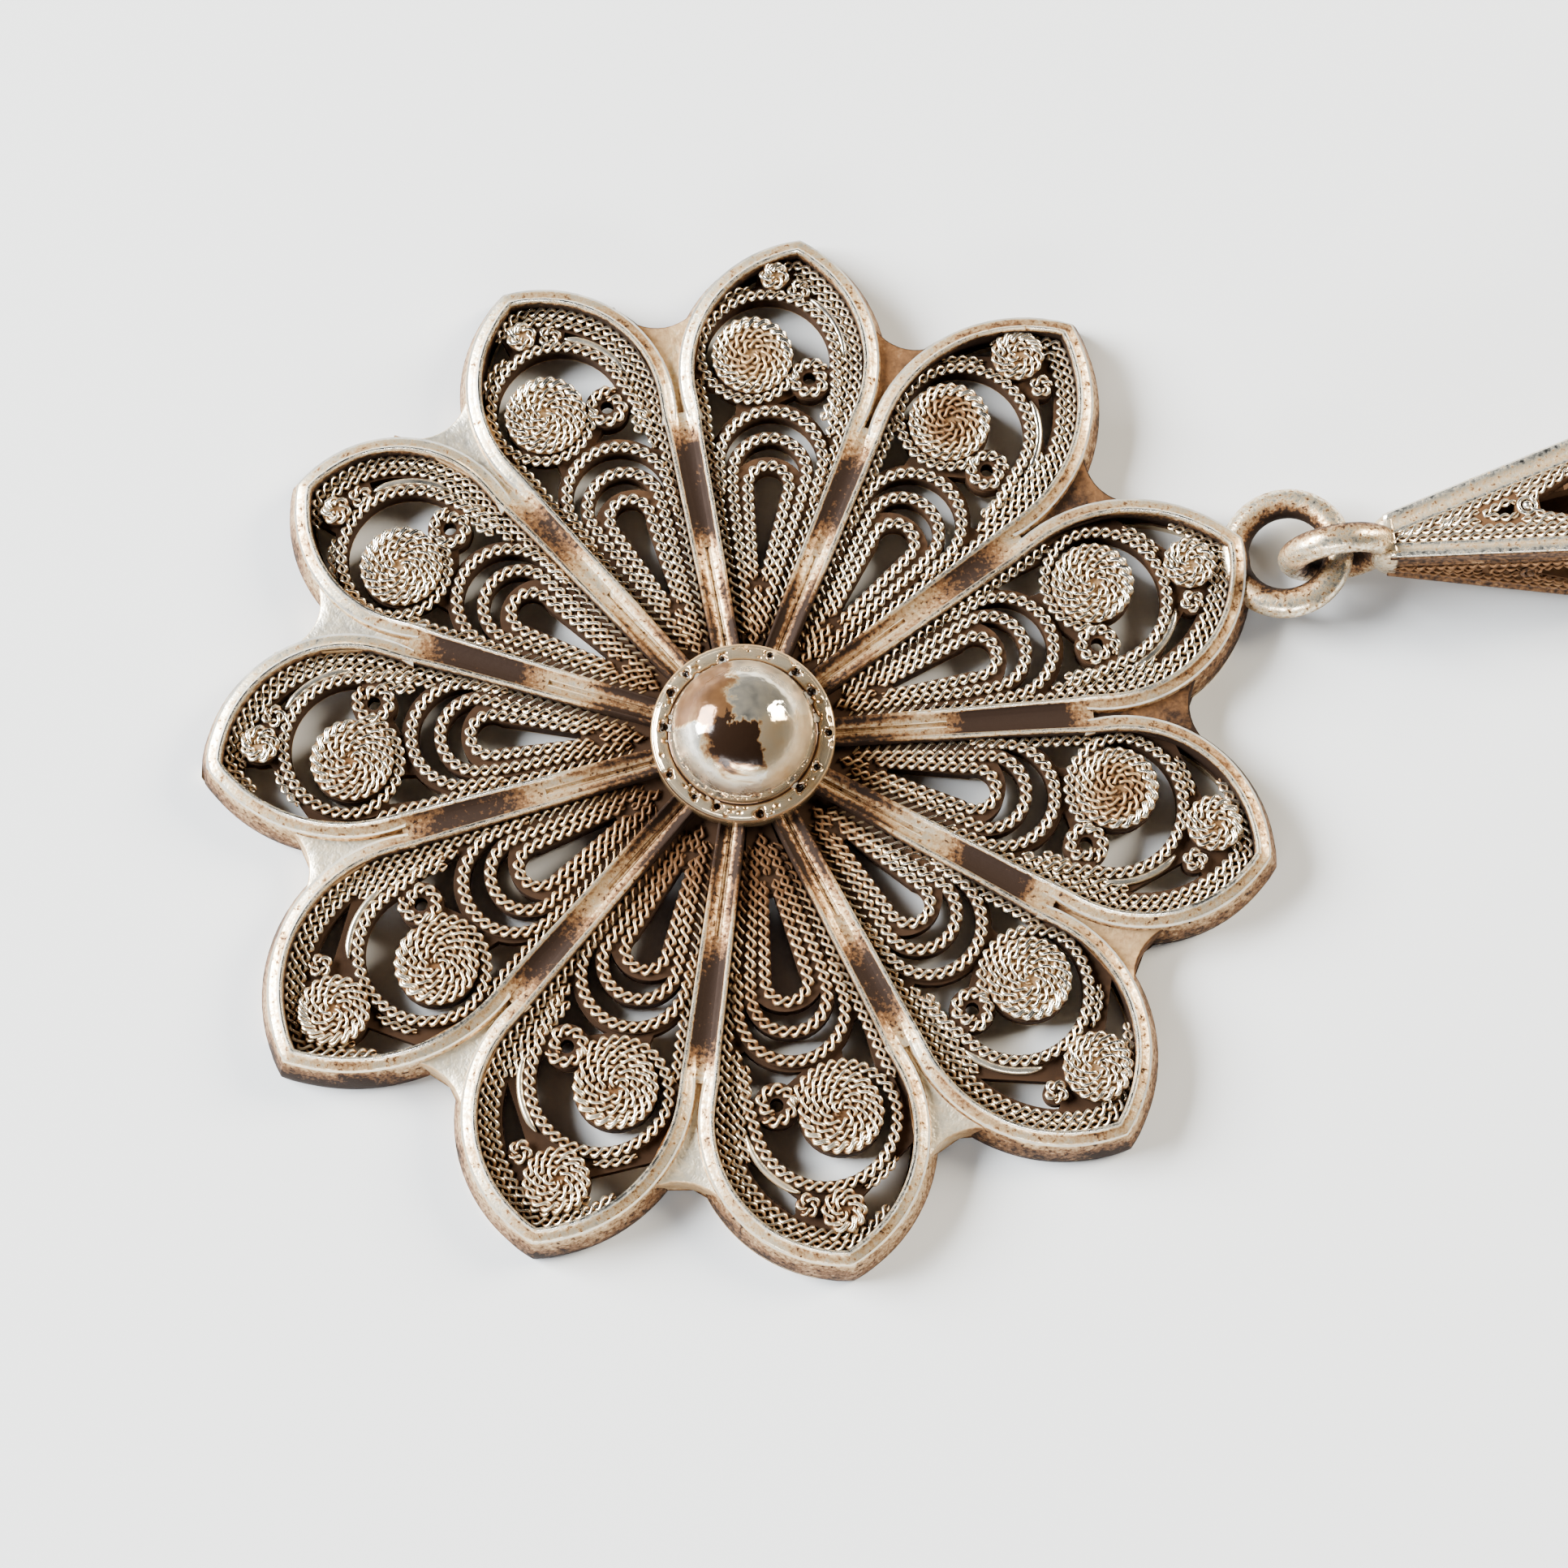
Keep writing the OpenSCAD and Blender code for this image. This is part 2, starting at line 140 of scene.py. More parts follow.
class Value:
    # One socket's value. Sums written on it add Math nodes, also with a plain number in front.
    def __init__(self, tree, socket):
        self.tree = tree
        self.socket = socket

    def feed(self, slot, item):
        if isinstance(item, Value):
            self.tree.links.new(item.socket, slot)
        else:
            slot.default_value = item

    # A node of any type, with its settings, and the values or links of its sockets.
    def node(self, kind, settings=None, inputs=None, output=0):
        made = self.tree.nodes.new(kind)
        for name, setting in (settings or {}).items():
            setattr(made, name, setting)
        for name, item in (inputs or {}).items():
            self.feed(made.inputs[name], item)
        return Value(self.tree, made.outputs[output])

    def sum(self, operation, first, second=0.0):
        return self.node("ShaderNodeMath", {"operation": operation}, {0: first, 1: second})

    def __add__(self, other):
        return self.sum("ADD", self, other)

    def __sub__(self, other):
        return self.sum("SUBTRACT", self, other)

    def __rsub__(self, other):
        return self.sum("SUBTRACT", other, self)

    def __mul__(self, other):
        return self.sum("MULTIPLY", self, other)

    def __truediv__(self, other):
        return self.sum("DIVIDE", self, other)

    __radd__ = __add__
    __rmul__ = __mul__

    def root(self):
        return self.sum("SQRT", self)

    def parts(self):  # the three numbers of a vector
        split = self.node("ShaderNodeSeparateXYZ", {}, {0: self})
        return [Value(self.tree, socket) for socket in split.socket.node.outputs]

    def held(self):  # kept between 0 and 1
        return self.node("ShaderNodeClamp", {}, {"Value": self})

    def rise(self, low, high):  # 0 at low, 1 at high, smooth between them
        return self.node("ShaderNodeMapRange", {"interpolation_type": "SMOOTHSTEP"},
                         {"Value": self, "From Min": low, "From Max": high})

    def noise(self, scale, detail=3.0, roughness=0.5, distortion=0.0):
        return self.node("ShaderNodeTexNoise", {}, {
            "Vector": self, "Scale": scale, "Detail": detail,
            "Roughness": roughness, "Distortion": distortion})

    def ramp(self, stops):  # a colour between the stops, which are places and colours
        made = self.node("ShaderNodeValToRGB", {}, {"Fac": self})
        elements = made.socket.node.color_ramp.elements
        while len(elements) < len(stops):
            elements.new(0.5)
        for element, stop in zip(elements, stops):
            element.position, element.color = stop
        return made


def newMaterial(name):  # a material, its shader, and where sums in its tree start
    material = bpy.data.materials.new(name)
    material.use_nodes = True
    tree = material.node_tree
    return material, tree.nodes["Principled BSDF"], Value(tree, None)


# The silver: one recipe, and a dictionary of what differs for each finish

tarnishStops = [
    (0.00, (0.92, 0.87, 0.76, 1.0)),
    (0.26, (0.71, 0.60, 0.42, 1.0)),
    (0.50, (0.44, 0.285, 0.14, 1.0)),
    (0.74, (0.15, 0.070, 0.028, 1.0)),
    (0.98, (0.018, 0.009, 0.005, 1.0)),
]
looks = {"wire": {
    "slot": "oxidised_silver",
    "relief": "attribute",  # where the height over the tarnish comes from
    "hollow": 0.84,  # tarnish where the relief is lowest: patina in the hollows, and the shade painted into the relief on some pieces
    "patches": 0.26,  # tarnish in broad patches
    "centre": 0.62,  # tarnish round the dome
    "lower": 0.52,  # tarnish and painted shade on the petals at the bottom of the picture, away from the light
    "upper": 0.0,  # browner on the petals at its upper right
    "most": 0.84,  # no tarnish is deeper than this
    "gloss": 0.14,  # strength of the sheen over the tarnish
    "dull": 0.0,  # tarnish all over
    "polish": 0.11,  # roughness where the metal is bright
    "grain": 0.14,  # how far the fine noise roughens it
    "soften": 0.48,  # how far tarnish roughens it
    "pitScale": 2600.0,  # per metre
    "pitDepth": 0.02,  # mm
    "mottle": 0.0,  # tarnish in fine mottles of the pits' size
    "specks": 0.0,  # tarnish in the deepest pits
}}
looks["frame"] = dict(
    looks["wire"], hollow=0.99, patches=0.40, centre=0.26, lower=0.26, upper=0.10, polish=0.14,
    pitScale=5200.0, pitDepth=0.035, mottle=0.9, specks=0.25, most=1.0)
looks["web"] = dict(
    looks["frame"], hollow=0.56, patches=0.34, upper=0.66, dull=0.16, polish=0.24, mottle=0.35,
    pitScale=3600.0, pitDepth=0.09, specks=0.0)
looks["base"] = dict(looks["wire"], relief="height", hollow=0.93, patches=0.10, polish=0.36, most=0.95)
looks["core"] = dict(looks["wire"], relief="none", hollow=0.86, patches=0.10, polish=0.34, most=0.95)
# the dome has the reflections of its surroundings painted into its colour
looks["dome"] = dict(
    looks["wire"], slot="polished_silver", hollow=0.90, patches=0.20, centre=0.0, lower=0.0, reflectionsPainted=True,
    most=1.0, gloss=0.5, polish=0.01, grain=0.05, soften=0.10, pitScale=1300.0, pitDepth=0.06, mottle=0.3)
looks["ring"] = dict(
    looks["wire"], slot="polished_silver", hollow=0.96, patches=0.50, centre=0.0, lower=0.0, dull=0.32,
    polish=0.06, pitScale=5600.0, pitDepth=0.035, mottle=1.25, specks=0.30, most=1.0)
looks["strip"] = dict(looks["ring"], hollow=0.80, patches=0.30, dull=0.12, polish=0.10, mottle=0.8)
looks["thread"] = dict(looks["wire"], hollow=0.72, patches=0.20, centre=0.0, lower=0.0, dull=0.08)
looks["chain"] = dict(looks["ring"], hollow=0.85, patches=0.34, dull=0.30, mottle=0.7, specks=0.45)
grimeAndShade = {  # where tarnish gathers, and where shade is painted on the lower petals: headings in degrees, distances in mm
    "lowerHeading": -112.0, "lowerEdge": (0.25, 0.98), "lowerFade": (8.0, 17.0), "lowerEnd": (21.0, 24.0),
    "upperHeading": 38.0, "upperEdge": (0.0, 0.92),
    "domeFrom": (3.0, 3.6), "domeTo": (3.4, 8.5),
    "wireHeight": (1.26, 1.64), "footHeight": (0.40, 0.50), "footRelief": 0.7,
    "patchFrom": (0.44, 0.70), "speckFrom": (0.60, 0.68),  # levels of the noise
    "broad": (170.0, 4.0, 0.6, 0.6), "fine": (1400.0, 3.0, 0.6), "pits": (2.0, 0.7),
    "grainy": 0.22,  # how far the fine noise mottles it
    "metallic": 0.55,  # how far it takes the metal's own shine
}
ballReflectionPaint = {  # reflections painted on the half ball as tarnish, where they lie in mm, and the tarnish of the plate round it
    "ballAt": 2.2, "ballR": 2.72, "wobble": 3.2, "dark": 1.3, "brown": 0.76, "gold": 0.38, "cream": 0.16,
    "high": (0.30, 0.60), "left": (-0.65, -0.40), "right": (0.50, 0.75),
    "darkLeft": (-1.5, -0.7), "darkFoot": (-1.9, -1.0), "foot": (1.5, 2.3),
    "rimRough": 0.24,  # how far the ball's foot is rougher than its top
    "rim": 0.14,  # tarnish of the plate round the ball
}


# Reflections painted on the half ball as the camera sees it: painted dark in the middle, brown and
# cream over it to the left and right, gold on the right, and bright on the left.
def paintBallReflections(x, y, z, place):
    tilt = math.radians(view["elevation"])
    across = x + (place.noise(420.0, 5.0, 0.65) - 0.5) * ballReflectionPaint["wobble"]
    over = y * math.sin(tilt) + (z - ballReflectionPaint["ballAt"]) * math.cos(tilt)
    over = over + (place.noise(360.0, 5.0, 0.65, 0.8) - 0.5) * ballReflectionPaint["wobble"]
    high = over.rise(*ballReflectionPaint["high"])
    left = 1.0 - across.rise(*ballReflectionPaint["left"])
    right = across.rise(*ballReflectionPaint["right"])
    dark = across.rise(*ballReflectionPaint["darkLeft"]) * (1.0 - right) * (1.0 - high) * over.rise(*ballReflectionPaint["darkFoot"])
    upper = high * (left * ballReflectionPaint["brown"] + (1.0 - left) * ballReflectionPaint["cream"])
    away = (x * x + y * y).root()
    onBall = 1.0 - away.rise(ballReflectionPaint["ballR"] - 0.1, ballReflectionPaint["ballR"])
    paintedReflection = (dark * ballReflectionPaint["dark"] + upper + right * (1.0 - high) * ballReflectionPaint["gold"]) * onBall
    return paintedReflection + (1.0 - onBall) * ballReflectionPaint["rim"], away.rise(*ballReflectionPaint["foot"]) * onBall


def silver(name, look):
    material, shader, start = newMaterial(name)
    place = start.node("ShaderNodeTexCoord", output="Object")
    x, y, z = [part / mm for part in place.parts()]
    away = (x * x + y * y + 0.01).root()

    def toward(degrees):  # 1 in a heading from the middle, and -1 opposite it
        turn = math.radians(degrees)
        return (x * math.cos(turn) + y * math.sin(turn)) / away

    if look["relief"] == "attribute":
        relief = start.node("ShaderNodeAttribute", {"attribute_name": "relief"}, output="Fac")
    elif look["relief"] == "height":
        foot = 1.0 - z.rise(*grimeAndShade["footHeight"])
        relief = z.rise(*grimeAndShade["wireHeight"]) + foot * grimeAndShade["footRelief"]
    else:
        relief = z * 0.0
    broad = place.noise(*grimeAndShade["broad"])
    fine = place.noise(*grimeAndShade["fine"])
    pits = place.noise(look["pitScale"], *grimeAndShade["pits"])
    # tarnish and painted shade on the petals at the bottom of the picture, away from the light
    lower = toward(grimeAndShade["lowerHeading"]).rise(*grimeAndShade["lowerEdge"])
    lower = lower * (1.0 - 0.65 * away.rise(*grimeAndShade["lowerFade"])) * (1.0 - away.rise(*grimeAndShade["lowerEnd"]))
    # browner on the petals at the upper right
    upper = toward(grimeAndShade["upperHeading"]).rise(*grimeAndShade["upperEdge"])
    nearDome = (1.0 - away.rise(*grimeAndShade["domeTo"])) * away.rise(*grimeAndShade["domeFrom"])
    # low relief is patina in hollows, and also shade painted on the spindle's faces, the rings and the ribs'
    # hollows
    hollow = 1.0 - relief.held()
    tarnish = hollow * look["hollow"]
    tarnish = tarnish + broad.rise(*grimeAndShade["patchFrom"]) * look["patches"] * (0.35 + hollow)
    tarnish = tarnish + nearDome * look["centre"] * (0.5 + broad * 0.8)
    tarnish = tarnish + lower * look["lower"] * (0.25 + broad * 1.1)
    tarnish = tarnish + upper * look["upper"] * (0.4 + broad * 1.2)
    tarnish = tarnish + (pits - 0.5) * look["mottle"] + pits.rise(*grimeAndShade["speckFrom"]) * look["specks"]
    polish = look["polish"]
    # reflections painted on the half ball, added to its tarnish
    if look.get("reflectionsPainted"):
        paintedReflection, foot = paintBallReflections(x, y, z, place)
        tarnish = tarnish + paintedReflection
        polish = foot * ballReflectionPaint["rimRough"] + polish
    tarnish = (tarnish + (fine - 0.5) * grimeAndShade["grainy"] + look["dull"]).held()
    tarnish = tarnish.sum("MINIMUM", tarnish, look["most"])
    start.feed(shader.inputs["Base Color"], tarnish.ramp(tarnishStops))
    start.feed(shader.inputs["Metallic"], 1.0 - tarnish * grimeAndShade["metallic"])
    rough = tarnish * look["soften"] + fine * look["grain"] + polish
    start.feed(shader.inputs["Roughness"], rough.held())
    bump = start.node("ShaderNodeBump", {}, {
        "Strength": 0.6, "Distance": look["pitDepth"] * mm, "Height": pits * 0.6 + fine * 0.4})
    start.feed(shader.inputs["Normal"], bump)
    shader.inputs["Specular IOR Level"].default_value = look["gloss"]
    return material


# Mesh making


class Stock:
    # Gathers faces over whole arrays of points, with each point's relief.
    def __init__(self):
        self.points = []
        self.relief = []
        self.faces = []
        self.count = 0

    # Quads over rings of points by sides, one grid or an array of them, closed round each ring,
    # and with flat ends or joined end to end.
    def add(self, points, relief, joined=False):
        rings, sides = points.shape[-3:-1]
        self.points.append(points.reshape(-1, 3))
        self.relief.append(np.broadcast_to(relief, points.shape[:-1]).reshape(-1))
        ring, side = np.arange(rings if joined else rings - 1)[:, None], np.arange(sides)
        after, beside = (ring + 1) % rings * sides, (side + 1) % sides
        ring = ring * sides
        quads = np.stack([ring + side, ring + beside, after + beside, after + side], axis=-1)
        ends = np.stack([side[::-1], (rings - 1) * sides + side])
        starts = self.count + np.arange(0, points.size // 3, rings * sides)[:, None, None]
        for group in [quads.reshape(-1, 4)] if joined else [quads.reshape(-1, 4), ends]:
            self.faces.append((group + starts).reshape(-1, group.shape[1]))
        self.count += points.size // 3

    # One object with a finish and its slot, and smooth but for edges over an angle in degrees.
    def build(self, name, look, sharp=None):
        points = np.concatenate(self.points) * mm
        points[:, 2] = np.maximum(points[:, 2], 0.0)  # no lower than the floor
        relief = np.concatenate(self.relief)
        corners = np.concatenate([group.reshape(-1) for group in self.faces])
        sizes = np.concatenate([np.full(len(group), group.shape[1]) for group in self.faces])
        mesh = bpy.data.meshes.new(name)
        mesh.vertices.add(len(points))
        mesh.vertices.foreach_set("co", points.reshape(-1).astype(np.float32))
        mesh.loops.add(len(corners))
        mesh.loops.foreach_set("vertex_index", corners.astype(np.int32))
        mesh.polygons.add(len(sizes))
        starts = np.concatenate([[0], np.cumsum(sizes)[:-1]])
        mesh.polygons.foreach_set("loop_start", starts.astype(np.int32))
        mesh.polygons.foreach_set("use_smooth", np.ones(len(sizes), dtype=bool))
        mesh.update(calc_edges=True)
        mesh.validate()
        held = mesh.attributes.new("relief", "FLOAT", "POINT")
        held.data.foreach_set("value", relief.astype(np.float32))
        if sharp:
            mesh.set_sharp_from_angle(angle=math.radians(sharp))
        mesh.materials.append(finish[look])
        piece = newObject(mesh)
        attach(piece, "root")
        return piece


def pointsOf(*axes):  # points from their coordinates, each spread to the shape of all
    return np.stack(np.broadcast_arrays(*axes), axis=-1)


def evenTurns(count):  # even angles round a circle, in radians
    return 2 * np.pi * np.arange(count) / count


def unit(vectors):  # the same directions at length 1
    return vectors / np.linalg.norm(vectors, axis=1, keepdims=True)


def between(pair, part):  # the first number at part 0, and the second at part 1
    return pair[0] + part * (pair[1] - pair[0])


def lengthsAlong(points):  # how far along a path each of its points is
    return np.concatenate([[0.0], np.cumsum(np.linalg.norm(np.diff(points, axis=0), axis=1))])


# Points at even steps along a path through the given points.
def evenPath(points, step):
    lengths = lengthsAlong(points)
    count = max(int(lengths[-1] / step), 4) + 1
    places = np.linspace(0.0, lengths[-1], count)
    return np.stack([np.interp(places, lengths, column) for column in points.T], axis=1)


# A path with its corners rounded: each inner point moves towards the mean of its neighbours.
def softPath(points, times):
    points = points.copy()
    for _ in range(times):
        points[1:-1] = 0.25 * points[:-2] + 0.5 * points[1:-1] + 0.25 * points[2:]
    return points


# Directions across a path: to its right on the level, and up from it.
def pathAxes(points):
    along = unit(np.gradient(points, axis=0))
    right = unit(np.cross(along, up))
    return right, np.cross(right, along)


# 0 below low, 1 above high, and smooth between them.
def smoothStep(values, low, high):
    part = np.clip((values - low) / (high - low), 0.0, 1.0)
    return part * part * (3.0 - 2.0 * part)


def endTaper(count, least, growth):  # a wire's size: least at both ends, and growing by each ring
    ring = np.arange(count)
    return np.clip(least + growth * np.minimum(ring, ring[::-1]), 0.0, 1.0)[:, None]


rope = {
    "swing": (0.152, 0.055),  # mm that a strand's middle swings, across and up
    "strand": (0.092, 0.085),  # a strand's own radius, across and up
    "twist": 0.80,  # mm for one whole turn, which shows two bumps
    "sides": 6, "ringsPerTwist": 8, "taper": (0.45, 0.2),
    "overShine": (-0.04, 0.11),  # mm over the middle where the relief rises
    "edgeShine": (0.15, 0.24),  # mm beside the middle where it rises too, though less
    "cleanFrom": (0.15, 0.6),  # share of the length where a rusty middle turns clean
}
band = {"step": 0.16, "sides": 8, "taper": (0.3, 0.25)}


# Two strands wound about each other along a path: each strand's middle circles the path once a
# twist, half a turn from the other, and its section is a small ellipse. Its relief goes from
# middle to 1 along the path, and on the spindle it is scaled by the shade painted on each face.
def addRope(stock, points, width=1.0, phase=0.0, toneAndShade=1.0, middle=1.0):
    step = rope["twist"] / rope["ringsPerTwist"]
    path = evenPath(points, step)
    right, over = pathAxes(path)
    count = len(path)
    turn = 2 * np.pi * np.arange(count) * step / rope["twist"] + phase
    size = endTaper(count, *rope["taper"]) * width
    around = evenTurns(rope["sides"])
    swingX, swingZ = rope["swing"]
    strandX, strandZ = rope["strand"]
    clean = middle + (1.0 - middle) * smoothStep(np.linspace(0, 1, count), *rope["cleanFrom"])[:, None]
    for strand in (0.0, np.pi):
        aside = (np.cos(turn + strand)[:, None] * swingX + np.cos(around) * strandX) * size
        above = (np.sin(turn + strand)[:, None] * swingZ + np.sin(around) * strandZ) * size
        section = aside[..., None] * right[:, None, :] + above[..., None] * over[:, None, :]
        relief = smoothStep(above / width, *rope["overShine"])
        relief = np.maximum(relief, 0.75 * smoothStep(np.abs(aside) / width, *rope["edgeShine"]))
        stock.add(path[:, None, :] + section, relief * toneAndShade * clean)


# One smooth wire along a path: an ellipse carried along it, drawn in at both ends.
def addBand(stock, points, wide, high, toneAndShade=1.0):
    path = evenPath(points, band["step"])
    right, over = pathAxes(path)
    around = evenTurns(band["sides"])[None, :, None]
    section = wide * np.cos(around) * right[:, None, :] + high * np.sin(around) * over[:, None, :]
    section = section * endTaper(len(path), *band["taper"])[..., None]
    relief = (0.62 + 0.38 * np.sin(around[..., 0])) * toneAndShade
    stock.add(path[:, None, :] + section, relief)


# The flower's plan, in millimetres: each petal has x to its right and y out from the middle

flower = {
    "reach": 21.0, "headAt": 15.4, "channel": 0.24, "usualHeadR": 5.8, "frameW": 0.55,
    "ribFrom": 2.6, "ribTo": 13.4, "ribOuter": (0.06, 0.14), "ribInner": (0.48, 0.66),
    "spreadTo": (8.4, 9.6),  # mm out, where the walls of two ribs stop meeting at the foot
    "spread": 0.08,  # how far they pass the middle between the ribs there
}
petalNames = ["heading", "reach", "lean", "shift"]
petals = [dict(zip(petalNames, row)) for row in [
    (84.7, -0.2, 0.3, 0.8),
    (53.7, 0.5, 0.4, 0.3),
    (20.4, 0.15, -0.8, 0.0),
    (-12.4, -0.2, 0.3, -0.5),
    (-45.5, 0.2, 0.5, -0.6),
    (-80.0, -0.2, -0.5, 0.0),
    (-113.9, 0.05, -0.8, -0.6),
    (-147.2, 0.45, -1.3, -0.4),
    (-181.1, -0.3, -1.6, 0.1),
    (-211.9, -0.6, -0.5, 0.1),
    (-243.6, -0.3, -0.5, 0.4),
]]
design = {
    "rowW": 0.45, "tearAt": 10.3, "tearR": 0.62, "loopsR": 2.25,
    "diskX": -1.15, "diskAt": 15.0, "diskR": 1.62, "arcX": -0.55, "arcR": 2.5,
    "curlX": 1.2, "curlY": 14.3, "curlR": 0.88,
    "tipLining": 1.15, "tipDiskX": -0.6, "tipDiskLeast": 0.6, "tipCurlR": 0.48,
    "rowZ": 1.13, "loopZ": 1.27, "diskZ": 1.47,  # heights of the wires' middles
    "firstRow": 0.79, "nextRow": 0.40,  # how far in from the frame's outer edge
    "rustyDisks": (0, 1, 3), "rustyShine": 0.45,  # petals whose large disk is brown in its middle
}


def halfTurn(number, side):  # half the angle to the neighbour on that side, in radians
    near, far = (number, number + 1) if side > 0 else (number - 1, number)
    turn = petals[near % len(petals)]["heading"] - petals[far % len(petals)]["heading"]
    return math.radians(turn % 360.0) / 2


# Half width and radius of one side of a petal's head: a circle that stands upright where the head
# is widest and passes through the tip.
def headSide(number, side):
    slope = math.tan(halfTurn(number, side))
    width = flower["headAt"] * slope - flower["usualHeadR"] * slope * slope / 2 - flower["channel"] / 2
    height = flower["reach"] + petals[number]["reach"] - flower["headAt"]
    off = width - side * petals[number]["lean"]
    return width, (height * height + off * off) / (2 * off)


# Where the two circles of a head meet when both are drawn in by inset.
def headTip(number, inset):
    widthR, radiusR = headSide(number, 1)
    widthL, radiusL = headSide(number, -1)
    middleR = widthR - radiusR
    middleL = radiusL - widthL
    gap = (radiusR - inset) ** 2 - (radiusL - inset) ** 2 - middleR ** 2 + middleL ** 2
    x = gap / (2 * (middleL - middleR))
    return x, np.sqrt((radiusR - inset) ** 2 - (x - middleR) ** 2)


# One side of a petal from its foot to its tip, at each inset from the frame's outer edge: straight
# beside the rib, then a circle's arc round the head. Rows are insets, columns run along the side.
def sideLine(number, side, inset, ribSteps, headSteps):
    inset = np.atleast_1d(inset)[:, None]
    turn = halfTurn(number, side)
    out = np.linspace(flower["ribFrom"], flower["ribTo"] - 0.2, ribSteps)
    part = (out - flower["ribFrom"]) / (flower["ribTo"] - flower["ribFrom"])
    outer, inner = between(flower["ribOuter"], part), between(flower["ribInner"], part)
    frameW = flower["frameW"]
    off = outer + np.clip(inset, 0, frameW) / frameW * (inner - outer) + np.maximum(inset - frameW, 0)
    spread = (1.0 - smoothStep(out, *flower["spreadTo"])) * (inset < 0)
    off = off - spread * (outer + flower["spread"])
    ribX = out * np.sin(turn) - off * np.cos(turn)
    ribY = out * np.cos(turn) + off * np.sin(turn)
    width, radius = headSide(number, side)
    _, tipY = headTip(number, inset)
    first = np.arcsin((ribY[:, -1:] + 0.25 - flower["headAt"]) / (radius - inset))
    last = np.arcsin(np.clip(tipY / (radius - inset), -1, 1))
    swing = first + (last - first) * np.linspace(0.0, 1.0, headSteps)
    headX = width - radius + (radius - inset) * np.cos(swing)
    headY = flower["headAt"] + (radius - inset) * np.sin(swing)
    return pointsOf(side * np.concatenate([ribX, headX], axis=1), np.concatenate([ribY, headY], axis=1))


# Points of a plan turned about the flower's middle, at a height.
def turned(plan, degrees, height):
    turn = math.radians(degrees)
    x, y = plan[..., 0], plan[..., 1]
    return pointsOf(x * math.cos(turn) - y * math.sin(turn), x * math.sin(turn) + y * math.cos(turn), height)


def placed(number, plan, height):  # from a petal's own plan to the flower
    return turned(plan, petals[number]["heading"] - 90.0, height)


def ribHeading(number):  # the heading of the rib after a petal, in degrees
    return petals[number]["heading"] - math.degrees(halfTurn(number, 1))


# Frames: one bent profile round each petal, its outer wall spread at the foot, down both ribs

frameProfile = np.array([  # inset from the outer edge, height, relief
    (-0.37, 0.00, 0.10), (-0.38, 0.30, 0.18), (-0.36, 0.53, 0.30), (-0.20, 1.02, 0.42),
    (-0.06, 1.42, 0.56), (0.02, 1.58, 0.78), (0.12, 1.635, 0.72), (0.25, 1.67, 0.66),
    (0.36, 1.71, 0.60), (0.42, 1.80, 1.0), (0.46, 1.835, 1.0), (0.52, 1.835, 1.0),
    (0.57, 1.78, 0.96), (0.59, 1.62, 0.40), (0.59, 1.20, 0.0), (0.59, 0.60, 0.0),
    (0.59, 0.00, 0.0),
])
crease = 38.0  # degrees, edges sharper than this stay sharp
framing = {
    "ribSteps": 26, "headSteps": 36, "easing": 6,
    "ribsTo": (12.4, 14.2),  # mm out, where ribs give way to heads
    "ribDrop": 0.09, "dropsOver": 1.3, "ribFoot": 0.12,
    "flank": 0.62, "flankTo": (4.5, 8.5), "flankIn": (0.08, 0.36),  # the dark inner side near the dome
    "hollowTo": 0.38, "hollowRelief": 0.06,
}
hollows = {"from": 7.7, "sway": 0.8, "fade": 2.6, "to": (11.4, 13.6)}  # mm out along a rib, where dark patina and painted shade lie in its hollow


def darkFrom(rib):  # how far out the dark patina and painted shade in a rib's hollow begin, the rib after a petal
    return hollows["from"] + hollows["sway"] * math.sin(2.3 * (rib % len(petals)))


def ribPatinaAndShade(out, first):  # how dark the patina and painted shade of a rib's hollow that begins at first are further out
    return smoothStep(out, first, first + hollows["fade"]) * (1.0 - smoothStep(out, *hollows["to"]))


# The profile carried round: its insets follow the side lines, and its crest sinks on the ribs.
def addFrame(stock, number):
    inset, height, relief = frameProfile.T
    lines = []
    for side in (1, -1):
        line = sideLine(number, side, inset, framing["ribSteps"], framing["headSteps"])
        for _ in range(framing["easing"]):
            line[:, 1:-3] = 0.25 * line[:, :-4] + 0.5 * line[:, 1:-3] + 0.25 * line[:, 2:-2]
        lines.append(line)
    plan = np.concatenate([lines[0], lines[1][:, -2::-1]], axis=1)
    inset, height, relief = frameProfile.T[:, :, None]
    reach = np.linalg.norm(plan, axis=-1)
    onRib = 1.0 - smoothStep(reach, *framing["ribsTo"])
    lift = height - onRib * framing["ribDrop"] * (height > framing["dropsOver"])
    lift = np.maximum(lift, onRib * framing["ribFoot"])
    # dark patina and painted shade on the slopes in each rib's hollow
    dark = ribPatinaAndShade(reach, np.where(plan[..., 0] > 0, darkFrom(number), darkFrom(number - 1)))
    dark = dark * (inset < framing["hollowTo"])
    shade = relief * (1.0 - dark) + framing["hollowRelief"] * dark
    nearDome = 1.0 - smoothStep(reach, *framing["flankTo"])
    shade = shade * (1.0 - framing["flank"] * nearDome * smoothStep(inset, *framing["flankIn"]))
    stock.add(placed(number, plan, lift).transpose(1, 0, 2)[:, ::-1], shade.T[:, ::-1])


valleys = {
    "from": 7.9, "to": 13.6, "steps": 40, "half": 0.24, "low": 1.508, "rise": 0.035, "thick": 0.12,
    "relief": 0.66, "darkest": 0.06,
}


